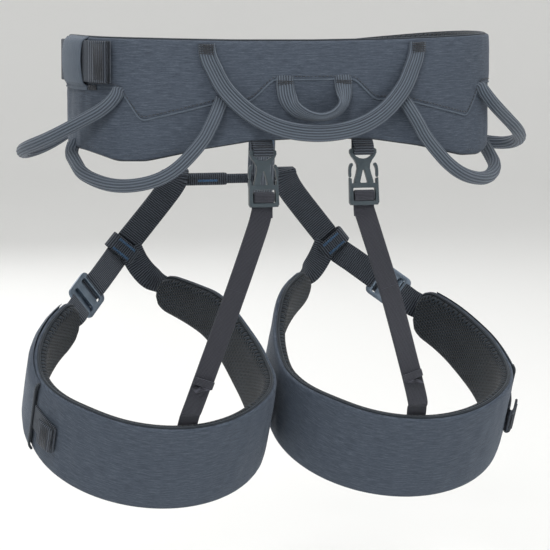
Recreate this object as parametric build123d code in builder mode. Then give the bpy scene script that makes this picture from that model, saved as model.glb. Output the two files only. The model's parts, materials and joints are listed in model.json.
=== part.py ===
from build123d import *
import os
from math import cos, radians, sin, sqrt

os.makedirs("parts", exist_ok=True)

# Climbing harness in its worn shape. Millimetres, +Z up.
# The wearer faces -Y and the wearer's left is +X. The origin is the centre of the waist opening.

# ---- driving dimensions ----
WAIST_HALF_X = 157.0          # outer half width of the padded belt
WAIST_HALF_Y = 101.0          # outer half depth of the padded belt
PANEL_T = 2.4                 # outer fabric panel
FOAM_T = 5.0
MESH_T = 1.8                  # inner spacer mesh
CLEAR = 0.3                   # gap between pieces that only lie beside each other
WALL_LOW, WALL_HIGH = -60.0, 60.0
BACK_SQUARE = 3.0             # power of the back half's rounded oval; an ellipse has 2
BELT_SPLIT_X = 47.0           # where the padded belt parts at the front, under the buckle
BELT_SPLIT_W = 6.0
OVAL_STEPS = 24               # points along the back half of the oval

WAIST_WEB_W = 30.0            # waist webbing
WAIST_WEB_T = 1.8
LEG_WEB_W = 20.0              # leg webbing
LEG_WEB_T = 2.0
RISER_W = 15.0                # elastic risers at the back
RISER_T = 3.6
BELAY_X = -26.0
BELAY_W = 16.0

LEG_CENTRE = (93.5, -7.0, -227.0)   # centre of the left leg ring
LEG_TILT = 30.5                     # degrees that the leg ring rises towards the front
LEG_R = 90.0                        # rounded back half of the leg ring
LEG_R_OUTER = 108.7                 # arc of the outer side, forwards of the middle
LEG_R_INNER = 194.7                 # arc of the inner side, forwards of the middle
LEG_END_OUTER = 53.2                # degrees of the outer arc before the pad ends
LEG_END_INNER = 43.0
LEG_PANEL_T = 2.0
LEG_FOAM_T = 5.5
LEG_MESH_T = 2.0

BRIDGE_HALF = 42.0            # half length of the lower tie-in bridge
BRIDGE_Y, BRIDGE_Z = -132.0, -77.0
RISER_X = 37.6                # riser buckles, across
RISER_TOP = (98.5, -41.6)     # y and z of the upper buckle's top bar
RISER_TILT = 6.0              # degrees that the riser buckles lean outwards

# Edges of the belt, as (x, z) on the wearer's left; the right is the same.
BACK_TOP = [(0, 38.7), (60, 39.2), (120, 40.5), (162, 41.0)]
BACK_BOTTOM = [(0, -30.5), (46, -32.0), (83, -37.5), (121, -46.0), (139, -46.5), (157, -39.5), (162, -39.5)]
BACK_SEAM = [(0, 11), (30.5, 11), (46.4, -4), (66.8, -4), (122.9, -18), (136, 5), (143.4, 6), (162, 4)]
FRONT_TOP = [(0, 28.5), (60, 29.5), (120, 36.0), (162, 41.0)]
FRONT_BOTTOM = [(0, -16.0), (78, -16.5), (120, -22.5), (146, -31.5), (157, -39.5), (162, -39.5)]
FRONT_SEAM = [(0, -8), (78, -6), (125, -1), (162, 4)]
FRONT_WEB_MID = [(0, 9.0), (60, 9.5), (120, 17.5), (162, 24.0)]   # middle line of the waist webbing


def both_sides(points):
    """The points of a left half, with their mirror images, from right to left."""
    right = [(-x, z) for x, z in reversed(points) if x > 0]
    return right + list(points)


def shifted(points, rise):
    return [(x, z + rise) for x, z in points]


def mirrored(point, side):
    return (point[0] * side, point[1], point[2])


def along(start, finish, share):
    return tuple(a + (b - a) * share for a, b in zip(start, finish))


def waist_oval(outside):
    """The waist's outline, outside the belt's face: an ellipse in front, squarer at the back."""
    half_x, half_y = WAIST_HALF_X + outside, WAIST_HALF_Y + outside
    points = []
    for step in range(OVAL_STEPS + 1):
        turn = radians(180 * step / OVAL_STEPS)
        reach = (abs(cos(turn)) ** BACK_SQUARE + sin(turn) ** BACK_SQUARE) ** (-1 / BACK_SQUARE)
        points.append((half_x * cos(turn) * reach, half_y * sin(turn) * reach))
    with BuildSketch() as oval:
        with BuildLine():
            Spline(*points, tangents=((0, 1), (0, -1)))
            EllipticalCenterArc((0, 0), half_x, half_y, start_angle=180, arc_size=180)
        make_face()
    return oval.sketch_local


def save(part, name):
    part.label = name
    export_step(part, f"parts/{name}.step")


# ---- belt layers ----
def outline_block(back, front):
    """A block that holds all of the belt between two edges, at the back and at the front."""
    blocks = []
    for depth, (lower, upper) in ((-150, back), (150, front)):
        with BuildPart() as half:
            with BuildSketch(Plane.XZ):
                with BuildLine():
                    low = Polyline(*both_sides(lower))
                    high = Polyline(*both_sides(upper))
                    Line(low @ 0, high @ 0)
                    Line(low @ 1, high @ 1)
                make_face()
            extrude(amount=depth)
        blocks.append(half.part)
    with BuildPart() as block:
        add(blocks[0])
        add(blocks[1])
    return block.part


def belt_layer(outside, inside, block):
    """One layer of the belt, between two depths below the outer face, cut to a block."""
    outer, inner = waist_oval(-outside), waist_oval(-inside)
    with BuildPart() as layer:
        with BuildSketch(Plane.XY.offset(WALL_LOW)):
            add(outer)
            add(inner, mode=Mode.SUBTRACT)
        extrude(amount=WALL_HIGH - WALL_LOW)
        add(block, mode=Mode.INTERSECT)
        with BuildSketch(Plane.XY.offset(WALL_LOW)):
            with Locations((BELT_SPLIT_X, -WAIST_HALF_Y)):
                Rectangle(BELT_SPLIT_W, WAIST_HALF_Y)
        extrude(amount=WALL_HIGH - WALL_LOW, mode=Mode.SUBTRACT)
    return layer.part


upper_block = outline_block((BACK_SEAM, BACK_TOP), (FRONT_SEAM, FRONT_TOP))
lower_block = outline_block((BACK_BOTTOM, BACK_SEAM), (FRONT_BOTTOM, FRONT_SEAM))
whole_block = outline_block((BACK_BOTTOM, BACK_TOP), (FRONT_BOTTOM, FRONT_TOP))

save(belt_layer(0, PANEL_T, upper_block), "belt_upper_panel")
save(belt_layer(0, PANEL_T, lower_block), "belt_lower_panel")
save(belt_layer(PANEL_T, PANEL_T + FOAM_T, whole_block), "belt_foam_core")
save(belt_layer(PANEL_T + FOAM_T, PANEL_T + FOAM_T + MESH_T, whole_block), "belt_inner_mesh")


# ---- waist webbing at the front ----
def waist_strap(low, high, x_from, x_to, middle, width, back_half=False):
    """Webbing on the belt from one x to another, between two heights above the belt's face."""
    low_edge = shifted(middle, -width / 2)
    high_edge = shifted(middle, width / 2)
    outer, inner = waist_oval(high), waist_oval(low)
    with BuildPart() as strap:
        with BuildSketch(Plane.XY.offset(WALL_LOW)):
            add(outer)
            add(inner, mode=Mode.SUBTRACT)
        extrude(amount=WALL_HIGH - WALL_LOW)
        with BuildSketch(Plane.XZ):
            with BuildLine():
                lower = Polyline(*both_sides(low_edge))
                upper = Polyline(*both_sides(high_edge))
                Line(lower @ 0, upper @ 0)
                Line(lower @ 1, upper @ 1)
            make_face()
        extrude(amount=-150 if back_half else 150, mode=Mode.INTERSECT)
        with BuildSketch(Plane.XY.offset(WALL_LOW)):
            with Locations(((x_from + x_to) / 2, 0)):
                Rectangle(x_to - x_from, 400)
        extrude(amount=WALL_HIGH - WALL_LOW, mode=Mode.INTERSECT)
    return strap.part


WEB_MID_SIDE = [(0, 24.0), (162, 24.0)]
BUCKLE_X = 69.0                       # middle of the waist buckle
BUCKLE_HALF = 19.0
STRAP_END_X = 141.0                   # folded end of the waist strap, on the left at the back
TAIL_LOW, TAIL_HIGH = 2.1, 4.1

save(waist_strap(0, WAIST_WEB_T, -152, BELT_SPLIT_X + 1, FRONT_WEB_MID, WAIST_WEB_W),
     "waist_webbing_right")
save(waist_strap(0, WAIST_WEB_T, BUCKLE_X - 6, 152, FRONT_WEB_MID, WAIST_WEB_W),
     "waist_webbing_left")

tail_front = waist_strap(TAIL_LOW, TAIL_HIGH, BUCKLE_X + BUCKLE_HALF + 3, 170, FRONT_WEB_MID, WAIST_WEB_W)
tail_back = waist_strap(TAIL_LOW, TAIL_HIGH, STRAP_END_X, 170, WEB_MID_SIDE, WAIST_WEB_W, back_half=True)
tail_fold = waist_strap(TAIL_LOW, TAIL_HIGH + 5, STRAP_END_X - 2.5, STRAP_END_X + 2.5, WEB_MID_SIDE,
                        WAIST_WEB_W, back_half=True)
with BuildPart() as waist_tail:
    add(tail_front)
    add(tail_back)
    add(tail_fold)
save(waist_tail.part, "waist_strap_tail")

# The elastic keeper is a flat tube across the side, sewn down above and below the strap.
KEEPER_LOW_Z, KEEPER_HIGH_Z = 6.8, 41.2
KEEPER_FROM, KEEPER_TO = 8.0, 44.0    # from the side towards the back
KEEPER_RISE = 6.0                     # how far it stands off the belt
KEEPER_T = 1.4
keeper_outer, keeper_back = waist_oval(KEEPER_RISE), waist_oval(CLEAR / 2)
keeper_gap, keeper_foot = waist_oval(KEEPER_RISE - KEEPER_T), waist_oval(-PANEL_T)
with BuildPart() as waist_keeper:
    with BuildSketch(Plane.XY.offset(KEEPER_LOW_Z)):
        add(keeper_outer)
        add(keeper_back, mode=Mode.SUBTRACT)
    extrude(amount=KEEPER_HIGH_Z - KEEPER_LOW_Z)
    with BuildSketch(Plane.XY.offset(KEEPER_LOW_Z + KEEPER_T)):
        add(keeper_gap)
        add(keeper_foot, mode=Mode.SUBTRACT)
    extrude(amount=KEEPER_HIGH_Z - KEEPER_LOW_Z - 2 * KEEPER_T, mode=Mode.SUBTRACT)
    with BuildSketch(Plane.XY.offset(KEEPER_LOW_Z)):
        with Locations((WAIST_HALF_X, (KEEPER_FROM + KEEPER_TO) / 2)):
            Rectangle(40, KEEPER_TO - KEEPER_FROM)
    extrude(amount=KEEPER_HIGH_Z - KEEPER_LOW_Z, mode=Mode.INTERSECT)
save(waist_keeper.part, "waist_keeper")


# ---- double-back buckles ----
def buckle_frame(plane, length, width, thick, slot):
    """A flat metal frame with two slots across the webbing."""
    with BuildPart() as frame:
        with BuildSketch(plane):
            RectangleRounded(length, width, 5)
            with GridLocations(length * 0.44, 0, 2, 1):
                RectangleRounded(length * 0.2, slot, 2, mode=Mode.SUBTRACT)
        extrude(amount=thick)
        fillet(frame.faces().sort_by(Axis(plane.origin, plane.z_dir))[-1].edges(), 0.7)
    return frame.part


def buckle_slider(plane, length, width, thick, slot):
    """The smaller plate of a double-back buckle, with one slot."""
    with BuildPart() as slider:
        with BuildSketch(plane):
            RectangleRounded(length, width, 4)
            RectangleRounded(length * 0.36, slot, 1.5, mode=Mode.SUBTRACT)
        extrude(amount=thick)
        fillet(slider.faces().sort_by(Axis(plane.origin, plane.z_dir))[-1].edges(), 0.6)
    return slider.part


buckle_y = -WAIST_HALF_Y * sqrt(1 - (BUCKLE_X / WAIST_HALF_X) ** 2)
face_normal = Vector(BUCKLE_X / WAIST_HALF_X ** 2, buckle_y / WAIST_HALF_Y ** 2, 0).normalized()
buckle_at = Vector(BUCKLE_X, buckle_y, 9.9)
buckle_along = Vector(-face_normal.Y, face_normal.X, 0)
WAIST_FRAME_T = 3.0
waist_frame_plane = Plane(buckle_at + face_normal * 2.3, x_dir=buckle_along, z_dir=face_normal)
waist_slider_plane = Plane(buckle_at + face_normal * 5.8, x_dir=buckle_along, z_dir=face_normal)
save(buckle_frame(waist_frame_plane, 2 * BUCKLE_HALF, 39, WAIST_FRAME_T, 31.5), "waist_buckle_frame")
save(buckle_slider(waist_slider_plane, 19, 37, 2.5, 31.5), "waist_buckle_slider")

# ---- tie-in points and belay loop ----
TIE_IN_Y = -120.0                     # middle of the upper tie-in strap's front
TIE_IN_LOW = 4.5
TIE_IN_W = 18.0
with BuildPart() as tie_in_upper:
    with BuildSketch(Plane.XY.offset(TIE_IN_LOW)):
        with BuildLine() as path:
            FilletPolyline(
                (BELAY_X - 40, -96.4), (BELAY_X - 23, -101.4), (BELAY_X - 20, TIE_IN_Y),
                (BELAY_X + 20, TIE_IN_Y), (BELAY_X + 23, -105.2), (BELAY_X + 40, -104.6), radius=3.5)
        trace(path.line, line_width=3.0)
    extrude(amount=TIE_IN_W)
save(tie_in_upper.part, "tie_in_upper")

with BuildPart() as tie_in_bridge:
    with BuildSketch(Plane.YZ.offset(-BRIDGE_HALF)):
        with Locations((BRIDGE_Y, BRIDGE_Z)):
            RectangleRounded(3.4, 7.6, 1.5)
    extrude(amount=2 * BRIDGE_HALF)
save(tie_in_bridge.part, "tie_in_bridge")

SLEEVE_FROM, SLEEVE_TO = 2.0, 38.0    # the stitched sleeve on the bridge's left part
with BuildPart() as bridge_sleeve:
    with BuildSketch(Plane.YZ.offset(SLEEVE_FROM)):
        with Locations((BRIDGE_Y, BRIDGE_Z)):
            RectangleRounded(6.0, 10.0, 2.0)
            RectangleRounded(3.8, 8.0, 1.6, mode=Mode.SUBTRACT)
    extrude(amount=SLEEVE_TO - SLEEVE_FROM)
save(bridge_sleeve.part, "tie_in_bridge_sleeve")

# The belay loop hangs on the upper tie-in strap and goes round the bridge, with some slack.
BELAY_R = 8.5
BELAY_T = 3.0
BELAY_TOP = (TIE_IN_Y, TIE_IN_LOW + TIE_IN_W + CLEAR - BELAY_R)
BELAY_BOTTOM = (BRIDGE_Y, -79.0)
belay_run = Vector(0, BELAY_TOP[0] - BELAY_BOTTOM[0], BELAY_TOP[1] - BELAY_BOTTOM[1])
belay_length = belay_run.length
belay_along = belay_run.normalized()
belay_mid = along((BELAY_X - BELAY_W / 2, *BELAY_TOP), (BELAY_X - BELAY_W / 2, *BELAY_BOTTOM), 0.5)
belay_plane = Plane(belay_mid, x_dir=belay_along, z_dir=(1, 0, 0))
with BuildPart() as belay_loop:
    with BuildSketch(belay_plane):
        SlotCenterToCenter(belay_length, 2 * (BELAY_R + BELAY_T))
        SlotCenterToCenter(belay_length, 2 * BELAY_R, mode=Mode.SUBTRACT)
    extrude(amount=BELAY_W)
save(belay_loop.part, "belay_loop")


# ---- straps that run free between pieces ----
def ribbon(route, width, thick):
    """A flat strap along a route, whose stations are a middle point and the way the face looks."""
    points = [Vector(*point) for point, facing in route]
    with BuildPart() as strap:
        for index, (point, facing) in enumerate(route):
            before = points[max(index - 1, 0)]
            after = points[min(index + 1, len(points) - 1)]
            run = (after - before).normalized()
            across = run.cross(Vector(*facing)).normalized()
            with BuildSketch(Plane(points[index], x_dir=across, z_dir=run)):
                Rectangle(width, thick)
        loft(ruled=True)
    return strap.part


def on_side(route, side):
    """The same route on the left, side 1, or on the right, side -1."""
    return [(mirrored(point, side), mirrored(facing, side)) for point, facing in route]


def whole_loop(half_route, middle):
    """A symmetric loop from its left half and its middle station."""
    return half_route + [middle] + on_side(half_route, -1)[::-1]


REAR_LOOP_W, REAR_LOOP_T = 12.5, 4.0
REAR_LOOP = [
    ((77, 100.2, 33), (0, 1, 0)), ((75, 101.2, 22), (0, 1, 0)), ((66, 105, 4), (0, 1, 0)),
    ((49, 111, -12.5), (0, 1, 0)), ((27, 115.5, -23), (0, 1, 0))]
save(ribbon(whole_loop(REAR_LOOP, ((0, 117, -26.5), (0, 1, 0))), REAR_LOOP_W, REAR_LOOP_T),
     "gear_loop_rear")

HAUL_W, HAUL_T = 14.0, 2.6
HAUL_LOOP = [
    ((21.5, 104.0, 8), (0, 1, 0.1)), ((21.0, 106.0, -1), (0.35, 1, 0)),
    ((17.5, 110.5, -8.5), (0.8, 1, -0.6)), ((9.5, 114.0, -13.5), (0.45, 0.7, -1))]
save(ribbon(whole_loop(HAUL_LOOP, ((0, 115.5, -15), (0, 0.45, -1))), HAUL_W, HAUL_T), "haul_loop")

SIDE_LOOP_R = 4.8
REAR_SIDE_LOOP = [(71, 104, -8), (84, 105.5, -33), (108, 101, -58), (138, 80, -66), (160, 48, -58),
                  (159, 26, -47)]
FRONT_SIDE_LOOP = [(139.5, 77, -1), (158, 59, -16), (180, 36, -31), (193, 6, -41), (188, -20, -46),
                   (166, -42, -43), (146, -53, -33)]


def corner_radii(points):
    """The largest tangent arc at each corner: 0.45 of the shorter run over the tangent of half the turn."""
    radii = []
    for a, b, c in zip(points, points[1:], points[2:]):
        run_in = Vector(*b) - Vector(*a)
        run_out = Vector(*c) - Vector(*b)
        half_turn = radians(run_in.get_angle(run_out)) / 2
        radii.append(0.45 * min(run_in.length, run_out.length) * cos(half_turn) / sin(half_turn))
    return radii


def round_loop(points, radius):
    """A round cord loop along straight runs joined by tangent arcs."""
    with BuildPart() as loop:
        with BuildLine() as path:
            FilletPolyline(*points, radius=corner_radii(points))
        with BuildSketch(Plane(path.wires()[0] @ 0, z_dir=path.wires()[0] % 0)):
            Circle(radius)
        sweep(path=path.wires()[0])
    return loop.part


for side, word in ((1, "left"), (-1, "right")):
    save(round_loop([mirrored(p, side) for p in REAR_SIDE_LOOP], SIDE_LOOP_R), f"gear_loop_back_{word}")
    save(round_loop([mirrored(p, side) for p in FRONT_SIDE_LOOP], SIDE_LOOP_R), f"gear_loop_front_{word}")


# ---- riser buckles ----
def riser_plane(side):
    """Across, up and outwards at the top bar of a riser buckle."""
    lean = radians(RISER_TILT)
    return Plane((side * RISER_X, *RISER_TOP), x_dir=(-1, 0, 0), z_dir=(0, cos(lean), sin(lean)))


BUCKLE_T = 4.6
TAB_T = 1.5


def riser_tab(side):
    """Webbing from the belt's lower edge, sewn round the top bar of the buckle."""
    base = riser_plane(side)
    across = Plane(base.origin, x_dir=base.z_dir, z_dir=(1, 0, 0))
    up = base.y_dir.dot(across.y_dir)
    with BuildPart() as tab:
        with BuildSketch(across):
            with Locations((0, 1.9 * up)):
                RectangleRounded(8.6, 6.0, 2.6)
                RectangleRounded(5.4, 3.0, 1.0, mode=Mode.SUBTRACT)
            with Locations((0, 6.6 * up)):
                Rectangle(2 * TAB_T, 4.8)
        extrude(amount=RISER_W / 2, both=True)
    return tab.part


def riser_upper(side):
    """The hook half: a slotted bar, a narrow neck and a body with a triangular window."""
    with BuildPart() as hook:
        with BuildSketch(riser_plane(side).offset(-BUCKLE_T / 2)):
            with Locations((0, -1.2)):
                RectangleRounded(20, 8.4, 2.0)
            with Locations((0, -0.9)):
                RectangleRounded(16.4, 3.4, 1.2, mode=Mode.SUBTRACT)
            with Locations((0, -8.5)):
                Rectangle(7.2, 8)
            with BuildLine():
                Polyline((-3.6, -10), (3.6, -10), (6.0, -25.5), (-6.0, -25.5), close=True)
            make_face()
            with BuildLine():
                Polyline((0, -13.5), (3.1, -22.5), (-3.1, -22.5), close=True)
            make_face(mode=Mode.SUBTRACT)
        extrude(amount=BUCKLE_T)
    return hook.part


def riser_lower(side):
    """The pocket half: two rails, a cross bar and a window that the elastic goes round."""
    with BuildPart() as pocket:
        with BuildSketch(riser_plane(side).offset(-BUCKLE_T / 2)):
            with Locations((0, -25.6)):
                RectangleRounded(21, 23.4, 3.0)
            with Locations((0, -19.5)):
                Rectangle(14.8, 15.4, mode=Mode.SUBTRACT)
            with Locations((0, -32.3)):
                RectangleRounded(16.4, 4.4, 1.2, mode=Mode.SUBTRACT)
        extrude(amount=BUCKLE_T)
    return pocket.part


def riser_lever(side, hand):
    """A squeeze lever that stands beside the neck on top of the pocket."""
    with BuildPart() as lever:
        with BuildSketch(riser_plane(side).offset(-BUCKLE_T / 2 + 0.3)):
            with BuildLine():
                Polyline((7.8 * hand, -13.4), (10.2 * hand, -13.4), (10.9 * hand, -9.5), (9.6 * hand, -6.4),
                         (7.6 * hand, -7.2), (8.4 * hand, -9.6), close=True)
            make_face()
        extrude(amount=BUCKLE_T - 0.6)
    return lever.part


for side, word in ((1, "left"), (-1, "right")):
    save(riser_tab(side), f"riser_tab_{word}")
    save(riser_upper(side), f"riser_buckle_upper_{word}")
    save(riser_lower(side), f"riser_buckle_lower_{word}")
    save(riser_lever(side, -side), f"riser_lever_outer_{word}")
    save(riser_lever(side, side), f"riser_lever_inner_{word}")


# ---- leg loops ----
def leg_plane(side):
    """The leg ring's own plane: x to the wearer's left, y back and down, z up along the thigh."""
    tilt = radians(LEG_TILT)
    return Plane(mirrored(LEG_CENTRE, side), x_dir=(1, 0, 0), z_dir=(0, sin(tilt), cos(tilt)))


# Edges of the padded leg band, as (y, z) in the ring's own plane: y is back, z is up the thigh.
BAND_TOP = [(95, 37), (60, 35), (30, 28), (0, 22), (-45, 22), (-87, 27), (-110, 20), (-140, 12)]
BAND_BOTTOM = [(95, -37), (60, -38), (30, -38.5), (0, -38), (-45, -30), (-87, -15), (-110, -16),
               (-140, -18)]
SLOT_ANGLE = 8.0              # degrees round the rounded half to the strap's way out
TAIL_ANGLE = 27.0             # and to the folded end of the leg strap


def ring_arc(angle):
    """The centre, across, and the radius of the ring's arc at an angle."""
    if angle > 180:
        return LEG_R_INNER - LEG_R, LEG_R_INNER
    if angle < 0:
        return LEG_R - LEG_R_OUTER, LEG_R_OUTER
    return 0, LEG_R


def ring_band(side, inside, outside, start, finish, lower, upper):
    """A band of the leg ring between two depths and two angles, cut to a lower and an upper edge.

    The angle runs from the outer side's front, which is negative, round the back to the inner side's
    front, which is over 180 degrees.
    """
    stretches = [(max(start, 0), min(finish, 180))]
    if start < 0:
        stretches.append((start, 0))
    if finish > 180:
        stretches.append((180, finish))
    with BuildPart() as band:
        with BuildSketch(leg_plane(side).offset(-60)):
            with BuildLine():
                for offset in (inside, outside):
                    for begin, end in stretches:
                        centre, radius = ring_arc((begin + end) / 2)
                        first = begin if side > 0 else 180 - begin
                        CenterArc((side * centre, 0), radius + offset, first, (end - begin) * side)
                for angle in (start, finish):
                    centre, radius = ring_arc(angle)
                    ends = []
                    for offset in (inside, outside):
                        ends.append((side * (centre + (radius + offset) * cos(radians(angle))),
                                     (radius + offset) * sin(radians(angle))))
                    Line(*ends)
            make_face()
        extrude(amount=120)
        section = leg_plane(side)
        with BuildSketch(Plane(section.origin, x_dir=section.y_dir, z_dir=(1, 0, 0))):
            with BuildLine():
                low = Polyline(*lower)
                high = Polyline(*upper)
                Line(low @ 0, high @ 0)
                Line(low @ 1, high @ 1)
            make_face()
        extrude(amount=130, both=True, mode=Mode.INTERSECT)
    return band.part


def strap_edges(middle, width):
    """The lower and the upper edge of a level strap on the leg ring."""
    low, high = middle - width / 2, middle + width / 2
    return [(-120, low), (120, low)], [(-120, high), (120, high)]


PAD_FROM, PAD_TO = -LEG_END_OUTER, 180 + LEG_END_INNER
TAIL_MID = -6.0
BRIDGE_END = (BRIDGE_HALF + 0.5, BRIDGE_Y, BRIDGE_Z)
KEEPER_IN = (80, -134.6, -123.5)
KEEPER_LEAVE = (89, -135.2, -134.5)
PAD_OUTER = (135.5, -81.5, -174)
LEG_BUCKLE = along(KEEPER_LEAVE, PAD_OUTER, 0.68)
BUCKLE_FACING = (0.45, -0.8, -0.3)
STRAP_START = along(BRIDGE_END, KEEPER_IN, 0.22)   # clear of the bridge, which the strap is folded round
PAD_INNER = (57.5, -124.2, -159.5)

LEG_STRAP = [
    (STRAP_START, (0, -1, 0)), (KEEPER_IN, (0, -1, 0)), (KEEPER_LEAVE, (0.1, -1, -0.05)),
    (along(KEEPER_LEAVE, PAD_OUTER, 0.4), BUCKLE_FACING), (LEG_BUCKLE, BUCKLE_FACING),
    (PAD_OUTER, BUCKLE_FACING)]
INNER_STRAP = [
    ((82, -129.6, -140), (0, -1, 0)), ((70, -127.5, -149.5), (-0.1, -1, 0)), (PAD_INNER, (-0.3, -0.9, 0.2))]


def crossing_keeper(side):
    """A flat webbing sleeve round the leg strap where its inner branch starts."""
    start, finish = Vector(*mirrored(KEEPER_IN, side)), Vector(*mirrored(KEEPER_LEAVE, side))
    run = (finish - start).normalized()
    across = run.cross(Vector(0, -1, 0)).normalized()
    middle = (start + finish) * 0.5 - run * 3.5
    with BuildPart() as keeper:
        with BuildSketch(Plane(middle, x_dir=across, z_dir=run)):
            RectangleRounded(LEG_WEB_W + 6, 6.4, 2.2)
            RectangleRounded(LEG_WEB_W + 2.4, 3.6, 1.2, mode=Mode.SUBTRACT)
        extrude(amount=6.5, both=True)
    return keeper.part


def leg_buckle_plane(side, lift):
    start, finish = Vector(*mirrored(KEEPER_LEAVE, side)), Vector(*mirrored(PAD_OUTER, side))
    run = (finish - start).normalized()
    facing = Vector(*mirrored(BUCKLE_FACING, side))
    face = (facing - run * facing.dot(run)).normalized()
    return Plane(Vector(*mirrored(LEG_BUCKLE, side)) + face * lift, x_dir=run, z_dir=face)


def elastic_riser(side):
    """The elastic strap from a riser buckle down to the inside of the leg ring's back."""
    route = [((RISER_X + 0.6, 101.8, -81.5), (0, 1, 0.1)), ((60, 97.5, -148), (0, 1, 0.1)),
             ((84, 84.8, -221), (0, 1, -0.3)), ((86.8, 78.2, -234), (0, 1, -0.55)),
             ((88, 67.8, -251.5), (0, 1, -0.59))]
    return ribbon(on_side(route, side), RISER_W, RISER_T)


FOAM_IN = LEG_PANEL_T + LEG_FOAM_T
for side, word in ((1, "left"), (-1, "right")):
    save(ring_band(side, -LEG_PANEL_T, 0, PAD_FROM, PAD_TO, BAND_BOTTOM, BAND_TOP), f"leg_shell_{word}")
    save(ring_band(side, -FOAM_IN, -LEG_PANEL_T, PAD_FROM, PAD_TO, BAND_BOTTOM, BAND_TOP),
         f"leg_foam_{word}")
    save(ring_band(side, -FOAM_IN - LEG_MESH_T, -FOAM_IN, PAD_FROM, PAD_TO, BAND_BOTTOM, BAND_TOP),
         f"leg_mesh_{word}")
    save(ring_band(side, 2.6, 3.8, -46, SLOT_ANGLE, BAND_BOTTOM, BAND_TOP), f"leg_strap_sleeve_{word}")
    tail_low, tail_high = strap_edges(TAIL_MID, LEG_WEB_W + 2)
    tail = ring_band(side, 0.3, 2.3, -46, TAIL_ANGLE, tail_low, tail_high)
    fold = ring_band(side, 0.3, 7.0, TAIL_ANGLE - 5, TAIL_ANGLE, tail_low, tail_high)
    with BuildPart() as leg_tail:
        add(tail)
        add(fold)
    save(leg_tail.part, f"leg_strap_tail_{word}")
    save(ribbon(on_side(LEG_STRAP, side), LEG_WEB_W, LEG_WEB_T), f"leg_webbing_{word}")
    save(ribbon(on_side(INNER_STRAP, side), LEG_WEB_W - 1, LEG_WEB_T), f"leg_webbing_inner_{word}")
    save(crossing_keeper(side), f"leg_keeper_{word}")
    save(buckle_frame(leg_buckle_plane(side, 1.6), 30, 28, 2.4, 21.5), f"leg_buckle_frame_{word}")
    save(buckle_slider(leg_buckle_plane(side, 4.4), 15, 26, 2.2, 21.5), f"leg_buckle_slider_{word}")
    save(elastic_riser(side), f"elastic_riser_{word}")
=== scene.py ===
import json
from math import acos, atan2, cos, pi, radians, sin

import bmesh
import bpy
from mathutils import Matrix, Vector, noise


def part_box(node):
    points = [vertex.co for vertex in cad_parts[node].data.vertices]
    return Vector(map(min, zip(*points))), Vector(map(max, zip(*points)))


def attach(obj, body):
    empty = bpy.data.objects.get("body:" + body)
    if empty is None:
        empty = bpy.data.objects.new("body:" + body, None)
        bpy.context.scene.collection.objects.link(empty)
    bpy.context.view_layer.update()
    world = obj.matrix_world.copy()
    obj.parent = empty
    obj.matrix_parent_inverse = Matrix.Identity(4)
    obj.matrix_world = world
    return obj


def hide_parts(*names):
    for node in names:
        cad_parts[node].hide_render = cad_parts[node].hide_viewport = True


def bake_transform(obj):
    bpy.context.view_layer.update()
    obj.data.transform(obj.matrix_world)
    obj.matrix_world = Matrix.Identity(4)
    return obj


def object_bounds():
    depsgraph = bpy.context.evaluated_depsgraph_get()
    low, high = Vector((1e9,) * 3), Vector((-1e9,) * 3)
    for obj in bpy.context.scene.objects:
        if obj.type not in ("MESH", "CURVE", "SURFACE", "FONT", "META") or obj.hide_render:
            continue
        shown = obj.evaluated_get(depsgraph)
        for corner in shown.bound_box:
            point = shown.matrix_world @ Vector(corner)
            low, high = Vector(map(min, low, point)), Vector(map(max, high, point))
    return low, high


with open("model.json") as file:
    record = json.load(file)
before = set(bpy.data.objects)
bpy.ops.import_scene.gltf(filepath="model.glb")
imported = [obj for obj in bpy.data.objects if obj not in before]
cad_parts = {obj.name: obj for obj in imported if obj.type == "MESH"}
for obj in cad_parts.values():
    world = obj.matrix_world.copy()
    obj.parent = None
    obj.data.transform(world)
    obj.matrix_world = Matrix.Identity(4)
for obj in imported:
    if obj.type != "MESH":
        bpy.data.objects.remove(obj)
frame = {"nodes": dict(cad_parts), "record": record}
cad_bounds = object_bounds()

MM = 0.001
CORD_PITCH = 2.1            # mm between the cords of the loop webbing
WAIST_STRAP_W = 30          # widths of the straps, in mm
LEG_STRAP_W = 20
TIE_IN_W = 18
STRAP_T = 1.9               # thickness of the straps
UP = Vector((0, 0, 1))
SIDES = (("left", 1), ("right", -1))


# ---------------------------------------------------------------- camera, floor and light
def aim(obj, target):
    obj.rotation_euler = (Vector(target) - obj.location).to_track_quat("-Z", "Y").to_euler()


def make_camera():
    azimuth = radians(164)
    elevation = radians(6)
    distance = 2.5
    target = Vector((0, 0, -0.140))
    data = bpy.data.cameras.new("camera")
    data.lens = 218
    data.sensor_width = 36
    data.clip_end = 30
    camera = bpy.data.objects.new("camera", data)
    bpy.context.scene.collection.objects.link(camera)
    away = Vector((sin(azimuth) * cos(elevation), -cos(azimuth) * cos(elevation), sin(elevation)))
    camera.location = target + away * distance
    aim(camera, target)
    bpy.context.scene.camera = camera


def area_light(name, where, target, size, power, colour=(1, 1, 1)):
    data = bpy.data.lights.new(name, "AREA")
    data.shape = "DISK"
    data.size = size
    data.energy = power
    data.color = colour
    light = bpy.data.objects.new(name, data)
    bpy.context.scene.collection.objects.link(light)
    light.location = where
    aim(light, target)


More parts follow.
